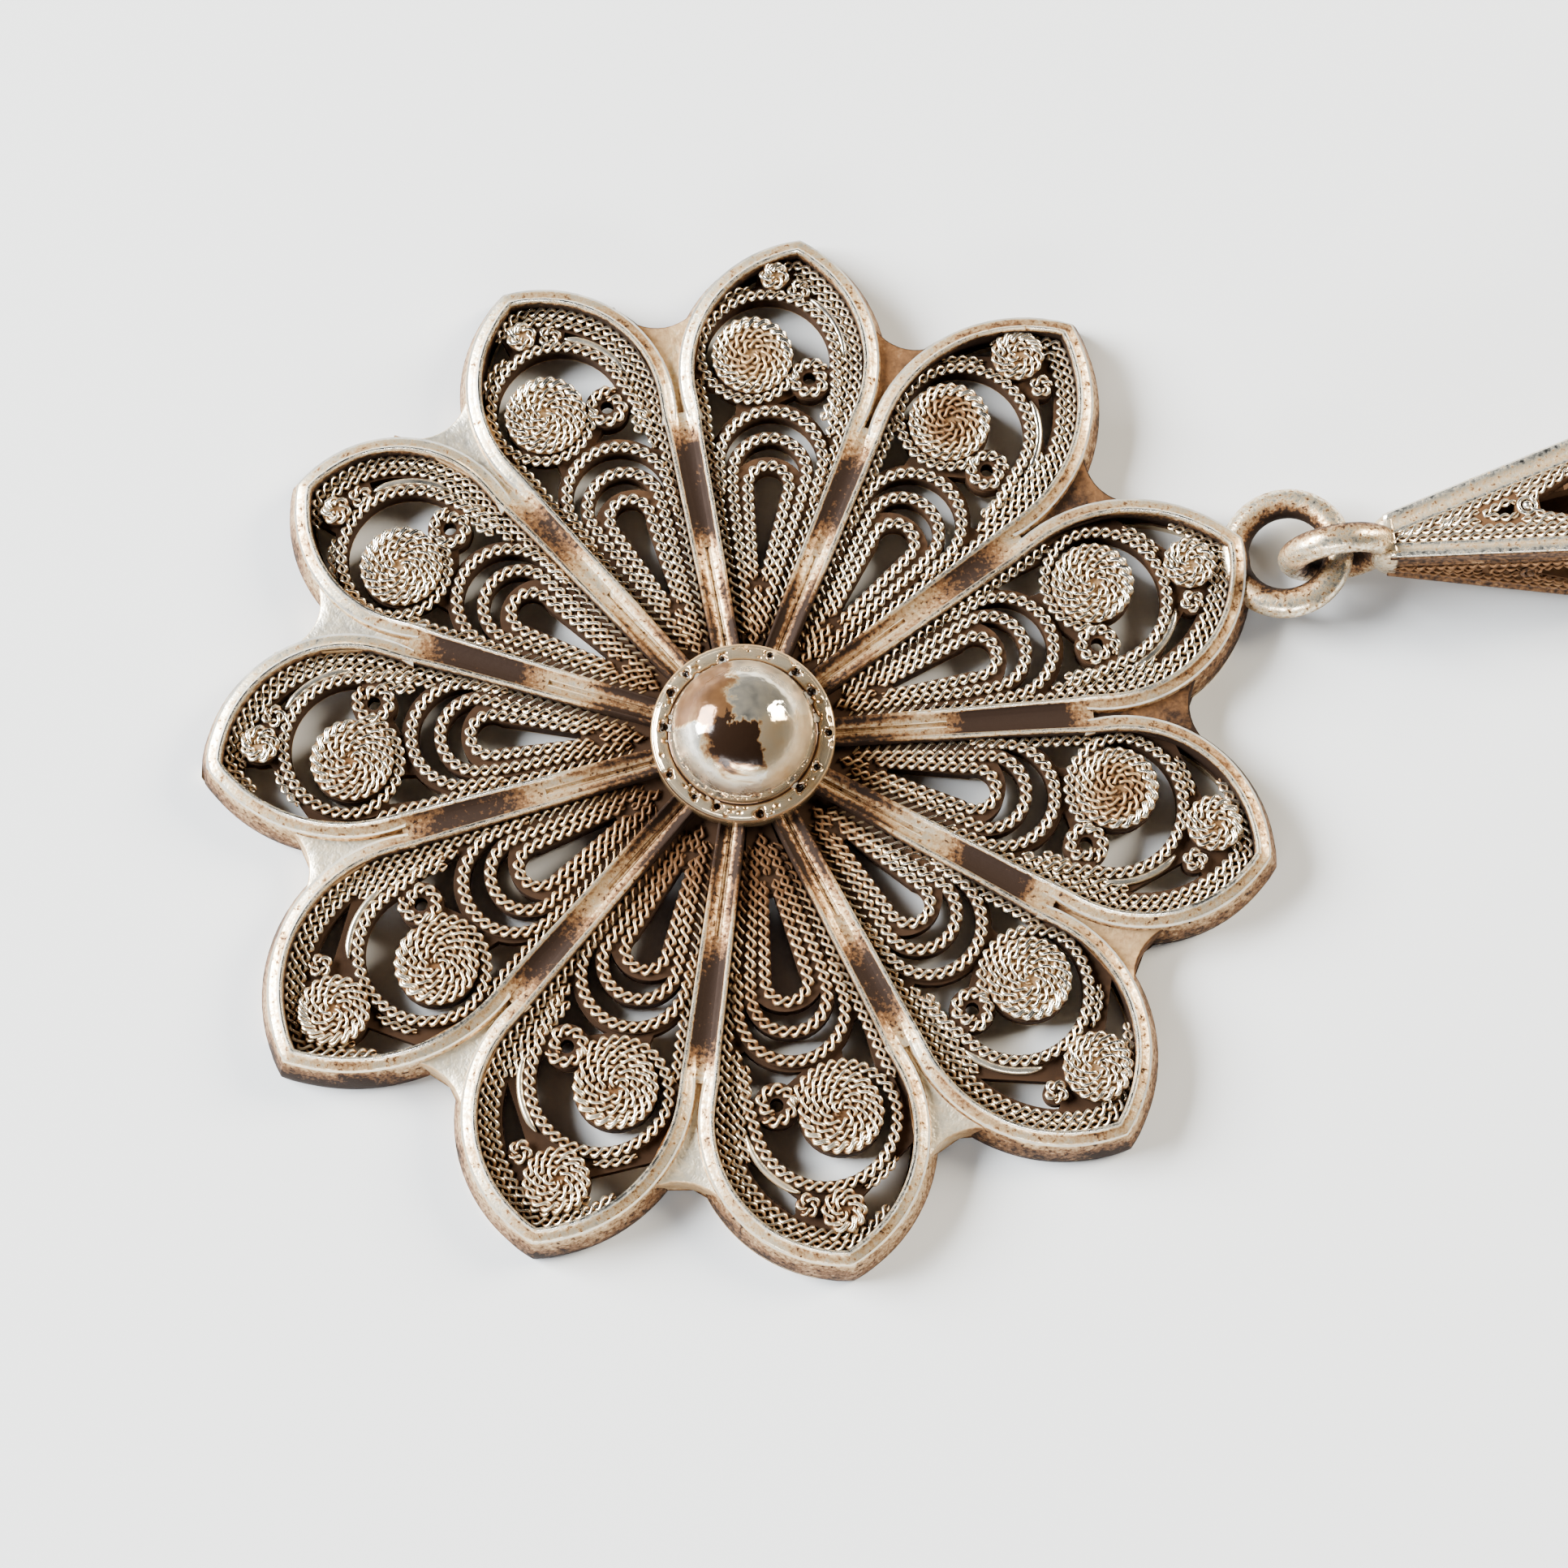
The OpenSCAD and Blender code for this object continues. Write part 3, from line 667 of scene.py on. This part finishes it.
# The smooth hollow strip that lies between two ribs where their crests part, darkest halfway along, with
# dark patina and painted shade.
def addValley(stock, number):
    out = np.linspace(valleys["from"], valleys["to"], valleys["steps"])[:, None]
    across = np.array([-1.0, -0.5, 0.0, 0.5, 1.0, 0.5, -0.5])
    under = np.array([0, 0, 0, 0, 0, 1, 1]) * valleys["thick"]
    height = valleys["low"] + valleys["rise"] * across * across - under
    points = turned(pointsOf(out, valleys["half"] * across), ribHeading(number), height)
    relief = valleys["relief"] - (valleys["relief"] - valleys["darkest"]) * ribPatinaAndShade(out, darkFrom(number))
    stock.add(points[:, ::-1], relief)


webs = {
    "from": 13.2, "footHalf": 0.10, "edgeAt": 19.5, "edgeR": 2.2, "spread": 62.0,
    "rows": 12, "columns": 17, "valley": 1.33, "rise": 0.22, "thick": 0.05, "underMost": 1.22,
    "lip": [(0.05, 0.03), (0.09, 0.12), (0.14, 0.70), (0.16, 1.06)],  # out from the edge, and down
}


# The sloping skin between two heads: straight lines from the foot of the notch to its hollow outer
# edge, higher towards the frames than along the middle, and then down over that edge.
def addWeb(stock, number):
    rows = webs["rows"]
    across = np.linspace(-1.0, 1.0, webs["columns"])
    out = np.linspace(0.0, 1.0, rows)[:, None]
    swing = np.radians(webs["spread"]) * across
    foot = pointsOf(webs["footHalf"] * across, webs["from"])
    edge = pointsOf(webs["edgeR"] * np.sin(swing), webs["edgeAt"] - webs["edgeR"] * np.cos(swing))
    plan = foot + (edge - foot) * out[..., None]
    height = webs["valley"] + webs["rise"] * np.abs(across) ** 1.4 * np.minimum(1.0, 0.4 + out)
    for apart, drop in webs["lip"]:
        plan = np.concatenate([plan, [edge + apart * pointsOf(-np.sin(swing), np.cos(swing))]])
        height = np.concatenate([height, height[rows - 1:rows] - drop])
    points = turned(plan, ribHeading(number) - 90.0, height)
    under = points.copy()
    under[..., 2] = np.minimum(under[..., 2] - webs["thick"], webs["underMost"])
    relief = np.broadcast_to(1.0 - 0.50 * across ** 2, height.shape).copy()
    relief[:rows] *= 0.45 + 0.55 * smoothStep(out, 0.0, 0.45)
    relief[rows:] *= 0.6
    points = np.concatenate([points, under[:, ::-1]], axis=1)
    relief = np.concatenate([relief, relief * 0], axis=1)
    stock.add(points[:, ::-1], relief[:, ::-1])


# Filigree wires


def polar(x, y, radius, turn):  # points round a middle
    return pointsOf(x + radius * np.cos(turn), y + radius * np.sin(turn))


def arcPoints(x, y, radius, first, last, count=40):  # an arc in degrees, from first to last
    return polar(x, y, radius, np.radians(np.linspace(first, last, count)))


# A flat coil: the radius grows evenly with the angle up to the outer radius, and keeps it for the
# last turn.
def coil(x, y, inner, outer, pitch, last):
    turns = max((outer - inner) / pitch, 0.6) + 1.0
    turn = np.radians(np.linspace(last + 360 * turns, last, int(36 * turns) + 8))
    grown = inner + (turn[0] - turn) / (2 * np.pi) * (outer - inner) / (turns - 1.0)
    return polar(x, y, np.minimum(grown, outer), turn)


def liningLine(number, side, row=0):  # where a row of the lining runs on one side, from the foot
    return sideLine(number, side, design["firstRow"] + row * design["nextRow"], 60, 60)[0]


# The rows that line a petal inside its frame: down its right side to given heights, down its left
# side to the gap under the tip, and again from where the disk's wire leaves it.
def liningRows(number):
    shift = petals[number]["shift"]
    tipFoot = design["diskAt"] + shift + design["arcR"] + design["rowW"] + 0.75
    rows = []
    for row, rightFrom, leftFrom in ((0, 4.0, tipFoot), (1, 11.9 + shift, tipFoot + 0.45)):
        right, left = liningLine(number, 1, row), liningLine(number, -1, row)[::-1]
        rows.append(np.concatenate([right[right[:, 1] > rightFrom], left[left[:, 1] > leftFrom]]))
    for row, side, low, high in ((2, 1, 12.6, 16.3), (0, -1, 4.0 - shift, 14.1)):
        line = liningLine(number, side, row)
        rows.append(line[(line[:, 1] > low + shift) & (line[:, 1] < high + shift)])
    return [softPath(evenPath(row, 0.15), 3) for row in rows]


# The three loops round the teardrop: arcs over it, and legs that share the room beside it evenly.
# A last short row runs down the middle of the petal's foot.
def loopRows(number):
    shift = petals[number]["shift"]
    tearY = design["tearAt"] - design["tearR"] + shift
    inner = design["tearR"] + 0.22

    def beside(y):  # how far the first loop stands from the middle
        return np.interp(y, [4.2, tearY - 4.6, tearY - 3.5, tearY], [0.05, 0.14, 0.30, inner])

    high = np.linspace(tearY - 0.2, tearY - 4.0, 12)
    leg = pointsOf(beside(high), high)
    low = np.linspace(tearY - 0.5, 4.3, 14)
    legs = {}
    for side in (1, -1):
        line = liningLine(number, side)
        lining = np.interp(low, line[:, 1], np.abs(line[:, 0]))
        legs[side] = pointsOf(side * (lining + beside(low)) / 2, low)
    rows = [
        [leg[::-1], arcPoints(0, tearY, inner, 0, 180), leg * [-1, 1]],
        [legs[1][::-1], arcPoints(0, 10.2 + shift, 1.475, 2, 178), legs[-1]],
        [[(1.78, 9.1 + shift)], arcPoints(0, 10.75 + shift, design["loopsR"] - 0.2, -8, 188),
         [(-1.78, 9.1 + shift)]],
        [[(0.0, 3.8), (0.0, tearY - 4.2)]],
    ]
    return [softPath(evenPath(np.concatenate(row), 0.12), 6) for row in rows]


# The wire that leaves the large disk, passes under it and sweeps over it as the big arc.
def sweepRow(number):
    y = design["diskAt"] + petals[number]["shift"]
    turn = np.radians(np.linspace(-15.0, -172.0, 40))
    radius = np.interp(turn, np.radians([-172.0, -140.0, -90.0, -15.0]), [2.10, 1.94, 1.84, 1.80])
    under = polar(design["diskX"], y, radius, turn)
    over = arcPoints(design["arcX"], y, design["arcR"] + design["rowW"] / 2, 180.0, 0.0, 60)
    tail = [(2.28, y - 0.9), (2.34, y - 1.7), (2.30, y - 2.4)]
    return softPath(evenPath(np.concatenate([under, over, tail]), 0.12), 8)


# Beside the big arc: a smooth wire on its right down to the lining, a twisted one on its left.
def besideArc(number):
    y = design["diskAt"] + petals[number]["shift"]
    outside = design["arcR"] + design["rowW"]
    smooth = arcPoints(design["arcX"], y, outside + 0.13, 62.0, 4.0, 30)
    return smooth, arcPoints(design["arcX"], y, outside + 0.16, 109.0, 140.0, 24)


# An open curl beside a disk, from the big arc round to a short inner end.
def curlRow(x, y, radius):
    turn = np.radians(np.linspace(38.0, 425.0, 66))
    distance = np.interp(turn, np.radians([38.0, 90.0, 330.0, 425.0]), [1.25, 1.0, 1.0, 0.50])
    return polar(x, y, distance * radius, turn)


def petalWires(number):
    stock = Stock()
    shift = petals[number]["shift"]

    def lay(row, height, width=1.0, **more):  # a twisted wire at one of the design's heights
        addRope(stock, placed(number, row, design[height]), width, **more)

    for place, row in enumerate(liningRows(number)):
        lay(row, "rowZ", phase=0.9 * place)
    for place, row in enumerate(loopRows(number)):
        lay(row, "loopZ", phase=1.3 * place)
    lay(sweepRow(number), "loopZ", phase=0.4)
    smooth, twisted = besideArc(number)
    addBand(stock, placed(number, smooth, design["rowZ"]), 0.15, 0.14, 0.95)
    lay(twisted, "rowZ", 0.8)
    disk = coil(design["diskX"], design["diskAt"] + shift, 0.13, design["diskR"] - 0.2, 0.41, 0.0)
    lay(disk, "diskZ", 0.96, middle=design["rustyShine"] if number in design["rustyDisks"] else 1.0)
    lay(curlRow(design["curlX"], design["curlY"] + shift, design["curlR"] - 0.26), "loopZ")
    arcTop = design["diskAt"] + shift + design["arcR"] + design["rowW"]
    reach = flower["reach"] + petals[number]["reach"]
    tipR = max(design["tipDiskLeast"], (reach - design["tipLining"] - arcTop) / 2)
    tipY = arcTop + tipR - 0.1
    lay(coil(design["tipDiskX"], tipY, 0.12, tipR - 0.19, 0.39, 40.0), "diskZ", 0.92)
    lay(curlRow(design["tipDiskX"] + tipR + 0.45, tipY - 0.45, design["tipCurlR"] - 0.18), "loopZ", 0.86)
    stock.build(f"petal_wires_{number + 1}", "wire")


# Centre: the round plate with its pits and the half ball

centre = {
    "plateR": 3.55, "plateTop": 2.3, "plateFoot": 1.5, "ballR": 2.8, "ballAt": 2.2,
    "skin": 0.02,  # mm that the smooth skin stands over the solid
    "pits": 14, "pitAt": 3.175, "pitR": 0.25, "pitDepth": 0.24, "around": 320,
    "swell": 0.10,  # mm that the rim swells between the ball and the edge
    "dents": 64, "dentR": (0.06, 0.17), "dentDepth": 0.085, "dentSeed": 11,
}


def bowl(aside, outward, radius):  # 1 in a dent's middle, and 0 from its edge on
    return np.clip(1 - (np.hypot(aside, outward) / radius) ** 2, 0, 1)


# A profile turned about the middle. It climbs the plate's edge, crosses the swollen rim, dips where
# the ball meets it and goes up the ball. Punched pits and shallow dents lower it by smooth bowls.
def addCentre(stock):
    skin = centre["skin"]
    edgeR = centre["plateR"] + skin
    top = centre["plateTop"] + skin
    ballR = centre["ballR"] + skin
    corner = np.radians(np.linspace(0, 80, 7))
    edge = polar(edgeR - 0.14, top - 0.14, 0.14, corner)
    across = np.linspace(edgeR - 0.15, ballR + 0.06, 30)
    part = (across[0] - across) / (across[0] - across[-1])
    flat = pointsOf(across, top + centre["swell"] * np.sin(np.pi * np.minimum(part, 0.999) ** 0.8) ** 0.8)
    rise = np.linspace(math.asin((top + 0.08 - centre["ballAt"]) / ballR), math.pi / 2 - 0.02, 48)
    ball = polar(0.0, centre["ballAt"], ballR, rise)
    foot = np.array([[edgeR - 0.3, centre["plateFoot"]], [edgeR, centre["plateFoot"] + 0.05]])
    profile = np.concatenate([foot, edge, flat, ball])
    around = evenTurns(centre["around"])
    reach, height = profile[:, :1], profile[:, 1:]
    x, y = reach * np.cos(around), reach * np.sin(around)
    z = np.broadcast_to(height, x.shape).copy()
    for number in range(centre["pits"]):
        turn = math.radians(number * 360 / centre["pits"] + 6 * math.sin(math.radians(97 * number)))
        out = centre["pitAt"] + 0.12 * math.cos(math.radians(131 * number))
        radius = centre["pitR"] + 0.04 * math.sin(math.radians(71 * number))
        aside, outward = x - out * math.cos(turn), y - out * math.sin(turn)
        radius = radius * (1 + 0.25 * np.sin(3 * np.arctan2(outward, aside) + 2.1 * number))
        z -= centre["pitDepth"] * bowl(aside, outward, radius) ** 1.5
    chance = np.random.default_rng(centre["dentSeed"])
    for turn, out, size in chance.random((centre["dents"], 3)):
        out = 2.86 + 0.62 * out
        aside, outward = x - out * np.cos(2 * np.pi * turn), y - out * np.sin(2 * np.pi * turn)
        dent = bowl(aside, outward, between(centre["dentR"], size * size))
        z -= centre["dentDepth"] * dent ** 1.2 * (reach > 2.84)
    relief = np.clip(1 - (height - z) / centre["pitDepth"] * 1.4, 0, 1)
    relief = np.where(reach > edgeR - 0.02, 0.5, relief * (1 - 0.25 * (reach > ballR)))
    relief = relief - 0.8 * np.exp(-((reach - ballR - 0.05) / 0.07) ** 2) * (z < top + 0.3)
    stock.add(pointsOf(x, y, z), np.clip(relief, 0, 1))


# Plain rings

rings = {
    "wire": 1.0, "skin": 0.08, "around": 96, "sides": 20,
    "tipRadius": 2.05, "tipPlace": (21.3, 7.55, 1.35), "tipTilt": 14.0,
    "endRadius": 1.75, "joinRadius": 3.4, "joinReach": 14.7, "joinDrop": 0.72, "joinSlope": 20.0,
}


def turnMatrix(axis, degrees):  # turns a row vector about X, Y or Z
    c, s = math.cos(math.radians(degrees)), math.sin(math.radians(degrees))
    rows = {"X": [[1, 0, 0], [0, c, s], [0, -s, c]], "Y": [[c, 0, -s], [0, 1, 0], [s, 0, c]],
            "Z": [[c, s, 0], [-s, c, 0], [0, 0, 1]]}
    return np.array(rows[axis])


def turnedBy(points, turns):  # turned about one axis after another
    for axis, degrees in turns:
        points = points @ turnMatrix(axis, degrees)
    return points


# An ellipse carried round a circle.
def ringPoints(radius, wide, high, around, side):
    out = radius + wide * np.cos(side)
    return pointsOf(out * np.cos(around), out * np.sin(around), high * np.sin(side))


# A ring of round wire with a slight seam, turned and then moved to its place.
def addRing(stock, radius, turns, place, seam=0.0):
    around = evenTurns(rings["around"])[:, None]
    side = evenTurns(rings["sides"])
    wire = rings["wire"] / 2 + rings["skin"] + 0.02 * np.exp(-((around - seam) / 0.12) ** 2)
    points = turnedBy(ringPoints(radius, wire, wire, around, side), turns) + place
    # patina on the wire's inner side and painted shade under it, in the ring's own frame: darker from its
    # upper outer edge round to its lower inner edge
    relief = np.clip(0.50 + 0.62 * np.cos(side - 0.75), 0.0, 1.0)
    stock.add(points, relief, joined=True)


# Spindle link

spindle = {
    "half": 9.5, "side": 5.4, "tipSide": 1.7, "place": (34.4, 8.8, 2.95),
    "turn": 7.6, "rise": 3.5, "roll": -5.0,
    "arms": (0.86, 0.56),  # widths of a ridge strip's two arms
    "neckFrom": -0.3, "neckTo": 0.56, "neckW": 0.42,
    "rowAfter": 0.17, "nextRow": 0.30, "ropeW": 0.76, "grainAt": 4.16,
    "gapX": [-9.5, -5.9, -5.7, -4.6, -4.2, -3.9, -2.0, -0.5, 0.0],
    "gapY": [0.0, 0.0, 0.05, 0.3, 0.0, 0.3, 1.0, 0.3, 0.0],
    "gapLines": [  # twisted wire round the large and the small gap
        [(0.55, 0.0), (0.8, 0.5), (2.0, 1.2), (3.8, 0.45), (4.02, 0.0),
         (3.8, -0.45), (2.0, -1.2), (0.8, -0.5), (0.55, 0.0)],
        [(4.55, 0.2), (4.62, 0.40), (5.1, 0.27), (5.85, 0.04), (5.85, -0.04),
         (5.1, -0.27), (4.62, -0.40), (4.55, -0.2)],
    ],
    "paintedFaceShade": (1.0, 0.10, 0.6, 0.85),  # painted shade on each face, a factor on its relief: up, front, under, back
}


def spindleSide(x):  # half the side of the square section at x
    full = spindle["side"] - (spindle["side"] - spindle["tipSide"]) * np.abs(x) / spindle["half"]
    return full / 2


# From the link's own axes to the necklace's, with the points on one of its faces, 0 to 3.
def spindlePlaced(points, face=0):
    turns = (("X", 90.0 * face), ("X", spindle["roll"]), ("Y", -spindle["rise"]), ("Z", spindle["turn"]))
    return turnedBy(points, turns) + spindle["place"]


# Rows of twisted wire along each face, at even distances in from the two strips as far as the gaps
# leave room, one down the middle near each tip, and a row round each large gap.
def addSpindleWires(stock):
    x = np.linspace(-9.3, 9.3, 240)
    gap = np.interp(-np.abs(x), spindle["gapX"], spindle["gapY"])
    # the wires on each face take the shade painted on that face
    for face, toneAndShade in enumerate(spindle["paintedFaceShade"]):
        for side, arm in zip((1, -1), spindle["arms"]):
            for row in range(7):
                y = spindleSide(x) - arm - spindle["rowAfter"] - spindle["nextRow"] * row
                keep = y > np.where(gap > 0, gap + 0.22, -0.1)
                for part in np.split(np.arange(len(x)), np.where(np.diff(keep.astype(int)))[0] + 1):
                    if keep[part[0]] and len(part) > 12:
                        points = pointsOf(x[part], side * y[part], spindleSide(x[part]) + 0.03)
                        addRope(stock, spindlePlaced(points, face), spindle["ropeW"], 0.7 * row, toneAndShade)
        for end in (-1, 1):
            for outline in spindle["gapLines"]:
                along, aside = softPath(evenPath(np.array(outline), 0.15), 4).T
                points = pointsOf(end * along, aside, spindleSide(along) + 0.05)
                addRope(stock, spindlePlaced(points, face), spindle["ropeW"], 0.0, toneAndShade)


# A ring of smooth wire with a grain in it, between the two gaps at each end of each face.
def addSpindleGrains(stock):
    ring = ringPoints(0.33, 0.085, 0.10, evenTurns(28)[:, None], evenTurns(8))
    rise = np.linspace(-0.5, 1.5, 7)[:, None]
    turn = evenTurns(16)
    at = spindle["grainAt"]
    ball = 0.19 * pointsOf(np.cos(rise) * np.cos(turn), np.cos(rise) * np.sin(turn), np.sin(rise))
    # the grains take the shade painted on their face
    for face, toneAndShade in enumerate(spindle["paintedFaceShade"]):
        for end in (-1, 1):
            place = [end * at, 0.0, spindleSide(at) + 0.06]
            stock.add(spindlePlaced(ring + place, face), 0.95 * toneAndShade, joined=True)
            stock.add(spindlePlaced(ball + place, face)[:, ::-1], 0.95 * toneAndShade)


# Strips bent over the four ridges: a profile with raised borders, carried from tip to tip.
def addSpindleRidges(stock):
    along = np.linspace(-1.0, 1.0, 72)
    along = (spindle["half"] * np.sign(along) * np.abs(along) ** 0.8)[:, None]
    half = spindleSide(along)

    def arm(wide):  # across one face and up from it, from the strip's edge to the ridge
        return np.array([(-wide, -0.06), (-wide, 0.06), (0.05 - wide, 0.09), (0.11 - wide, 0.085),
                         (0.16 - wide, 0.045), (-0.24, 0.04), (-0.19, 0.08), (-0.10, 0.105), (0.0, 0.10),
                         (0.06, 0.06)])

    first, second = spindle["arms"]
    aside, above = np.concatenate([arm(first), arm(second)[::-1, ::-1], [(-0.2, -0.2)]]).T
    relief = np.array([0.2, 0.7, 1.0, 0.95, 0.6, 0.62, 0.8, 1.0, 1.0, 1.0])
    # each strip's two arms take the shade painted on the faces they lie on
    for face, toneAndShade in enumerate(spindle["paintedFaceShade"]):
        shade = np.concatenate([relief * toneAndShade, relief[::-1] * spindle["paintedFaceShade"][face - 1], [0.0]])
        stock.add(spindlePlaced(pointsOf(along, half + aside, half + above), face), shade)


# The neck at each tip: a rounded square that keeps its size at first and then rounds in to the ring.
def addSpindleNecks(stock):
    part = np.linspace(0.0, 1.0, 14)[:, None]
    around = evenTurns(40)
    square = 1.0 / np.maximum(np.abs(np.cos(around)), np.abs(np.sin(around)))
    length = spindle["neckTo"] - spindle["neckFrom"]
    reach = spindle["half"] + spindle["neckFrom"] + length * np.sin(part * np.pi / 2)
    full = spindle["tipSide"] / 2 + 0.13
    radius = spindle["neckW"] + (full - spindle["neckW"]) * np.cos(part * np.pi / 2) ** 0.9
    radius = radius * (1.0 + (square - 1.0) * (0.85 - 0.6 * part))
    for end in (-1, 1):
        points = pointsOf(end * reach, radius * np.cos(around), radius * np.sin(around))
        stock.add(spindlePlaced(points[::end]), 0.7)


# Chain

chain = {
    "halfLinks": 100, "wire": 0.9, "length": 5.9, "width": 3.6, "pitch": 3.9,
    "endSlack": 0.55, "dropRatio": 0.42, "ends": 5, "straight": 1, "sides": 5, "bulge": 1.03,
}


# The drop-shaped route: a cosine along its length and a sine that swells across it, scaled so that
# its length holds every link. Gives the place and direction at each distance along it.
def chainRoute(distances, total):
    def drop(degrees):  # a place on the drop of length 1
        turn = np.radians(degrees)
        return pointsOf((1 - np.cos(turn)) / 2, chain["dropRatio"] * np.sin(turn) * np.sin(turn / 2))

    degrees = np.arange(0, 361)
    lengths = lengthsAlong(drop(degrees))
    scale = total / lengths[-1]

    def at(distance):
        return scale * drop(np.interp(distance / scale, lengths, degrees))

    ahead = at(distances + 0.5) - at(distances - 0.5)
    return at(distances), np.arctan2(ahead[:, 1], ahead[:, 0])


# One oval link along X: a circle carried along two half rings and two straight sides.
def ovalLink():
    radius = (chain["width"] - chain["wire"]) / 2 * chain["bulge"]
    half = (chain["length"] - chain["width"]) / 2
    bend = np.linspace(-np.pi / 2, np.pi / 2, chain["ends"])
    straight = np.linspace(1, -1, chain["straight"] + 2)[1:-1] * half
    end = pointsOf(half + radius * np.cos(bend), radius * np.sin(bend), 0.0)
    side = pointsOf(straight, radius, 0.0)
    path = np.concatenate([end, side, -end, -side])
    ahead = unit(np.roll(path, -1, axis=0) - np.roll(path, 1, axis=0))
    right = np.cross(ahead, up)[:, None, :]
    around = evenTurns(chain["sides"])[None, :, None]
    wire = chain["wire"] / 2 * chain["bulge"]
    return path[:, None, :] + wire * np.cos(around) * right + wire * np.sin(around) * up


# Every link turned along the route and tipped to one side or the other, as one array.
def addLinks(stock, first, last):
    joinRoom = rings["joinRadius"] - 0.5 * (rings["wire"] + chain["wire"]) - chain["endSlack"]
    begin = joinRoom + (chain["length"] - chain["wire"]) / 2
    total = 2 * begin + (2 * chain["halfLinks"] - 2) * chain["pitch"]
    number = np.arange(first, last + 1)
    place, turn = chainRoute(begin + number * chain["pitch"], total)
    tip, turn = np.radians(np.where(number % 2 == 0, -45.0, 45.0))[:, None, None], turn[:, None, None]
    x, y, z = np.moveaxis(ovalLink(), -1, 0)
    tippedY, tippedZ = y * np.cos(tip) - z * np.sin(tip), y * np.sin(tip) + z * np.cos(tip)
    low = (chain["width"] - chain["wire"]) / 2 * math.sin(math.radians(45)) + chain["wire"] / 2
    placeX, placeY = place.T[:, :, None, None]
    points = pointsOf(placeX + x * np.cos(turn) - tippedY * np.sin(turn),
                      placeY + x * np.sin(turn) + tippedY * np.cos(turn), low + tippedZ)
    points = points @ turnMatrix("Z", spindle["turn"]) + joinPlace() * [1.0, 1.0, 0.0]
    stock.add(points, 0.72 + 0.28 * np.cos(evenTurns(chain["sides"])), joined=True)


def joinPlace():
    turn = math.radians(spindle["turn"])
    reach = np.array([math.cos(turn), math.sin(turn), 0.0]) * rings["joinReach"]
    return spindle["place"] + reach - [0.0, 0.0, rings["joinDrop"]]


# Putting it together

setCamera()
setLights()
setFloor()
print("camera, light and floor are set")

finish = {name: silver(f"{name}_silver", look) for name, look in looks.items()}
for node, name in (("flower_pendant", "base"), ("spindle_link", "core")):
    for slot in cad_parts[node].material_slots:
        slot.material = finish[name]
print("materials are made")

frameStock = Stock()
webStock = Stock()
for number in range(len(petals)):
    addFrame(frameStock, number)
    addValley(frameStock, number)
    addWeb(webStock, number)
    petalWires(number)
webStock.build("petal_webs", "web", crease)
frameStock.build("petal_frames", "frame", crease)
print("petals are wired and framed")

stock = Stock()
addCentre(stock)
stock.build("dome_and_plate", "dome")
stock = Stock()
addRing(stock, rings["tipRadius"], [("Y", -rings["tipTilt"])], rings["tipPlace"], np.pi)
stock.build("tip_ring", "ring")
print("centre and tip ring are made")

stock = Stock()
addSpindleWires(stock)
stock.build("spindle_wires", "thread")
stock = Stock()
addSpindleRidges(stock)
addSpindleNecks(stock)
addSpindleGrains(stock)
stock.build("spindle_ridges", "strip")
stock = Stock()
turns = [("X", 90.0), ("Y", -spindle["rise"]), ("Z", spindle["turn"])]
for side in (-1, 1):
    away = np.array([side * (spindle["half"] + rings["endRadius"] + 0.1), 0.0, 0.0])
    addRing(stock, rings["endRadius"], turns, turnedBy(away, turns[1:]) + spindle["place"])
stock.build("spindle_rings", "ring")
print("spindle link is dressed")

stock = Stock()
addRing(stock, rings["joinRadius"], [("Y", rings["joinSlope"]), ("Z", spindle["turn"])], joinPlace())
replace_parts(stock.build("join_ring_wire", "ring"), "join_ring")
for node, first, last in (("chain_left", 0, chain["halfLinks"] - 1),
                          ("chain_right", chain["halfLinks"], 2 * chain["halfLinks"] - 2)):
    stock = Stock()
    addLinks(stock, first, last)
    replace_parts(stock.build(node + "_links", "chain"), node)
print("join ring and chain are made")
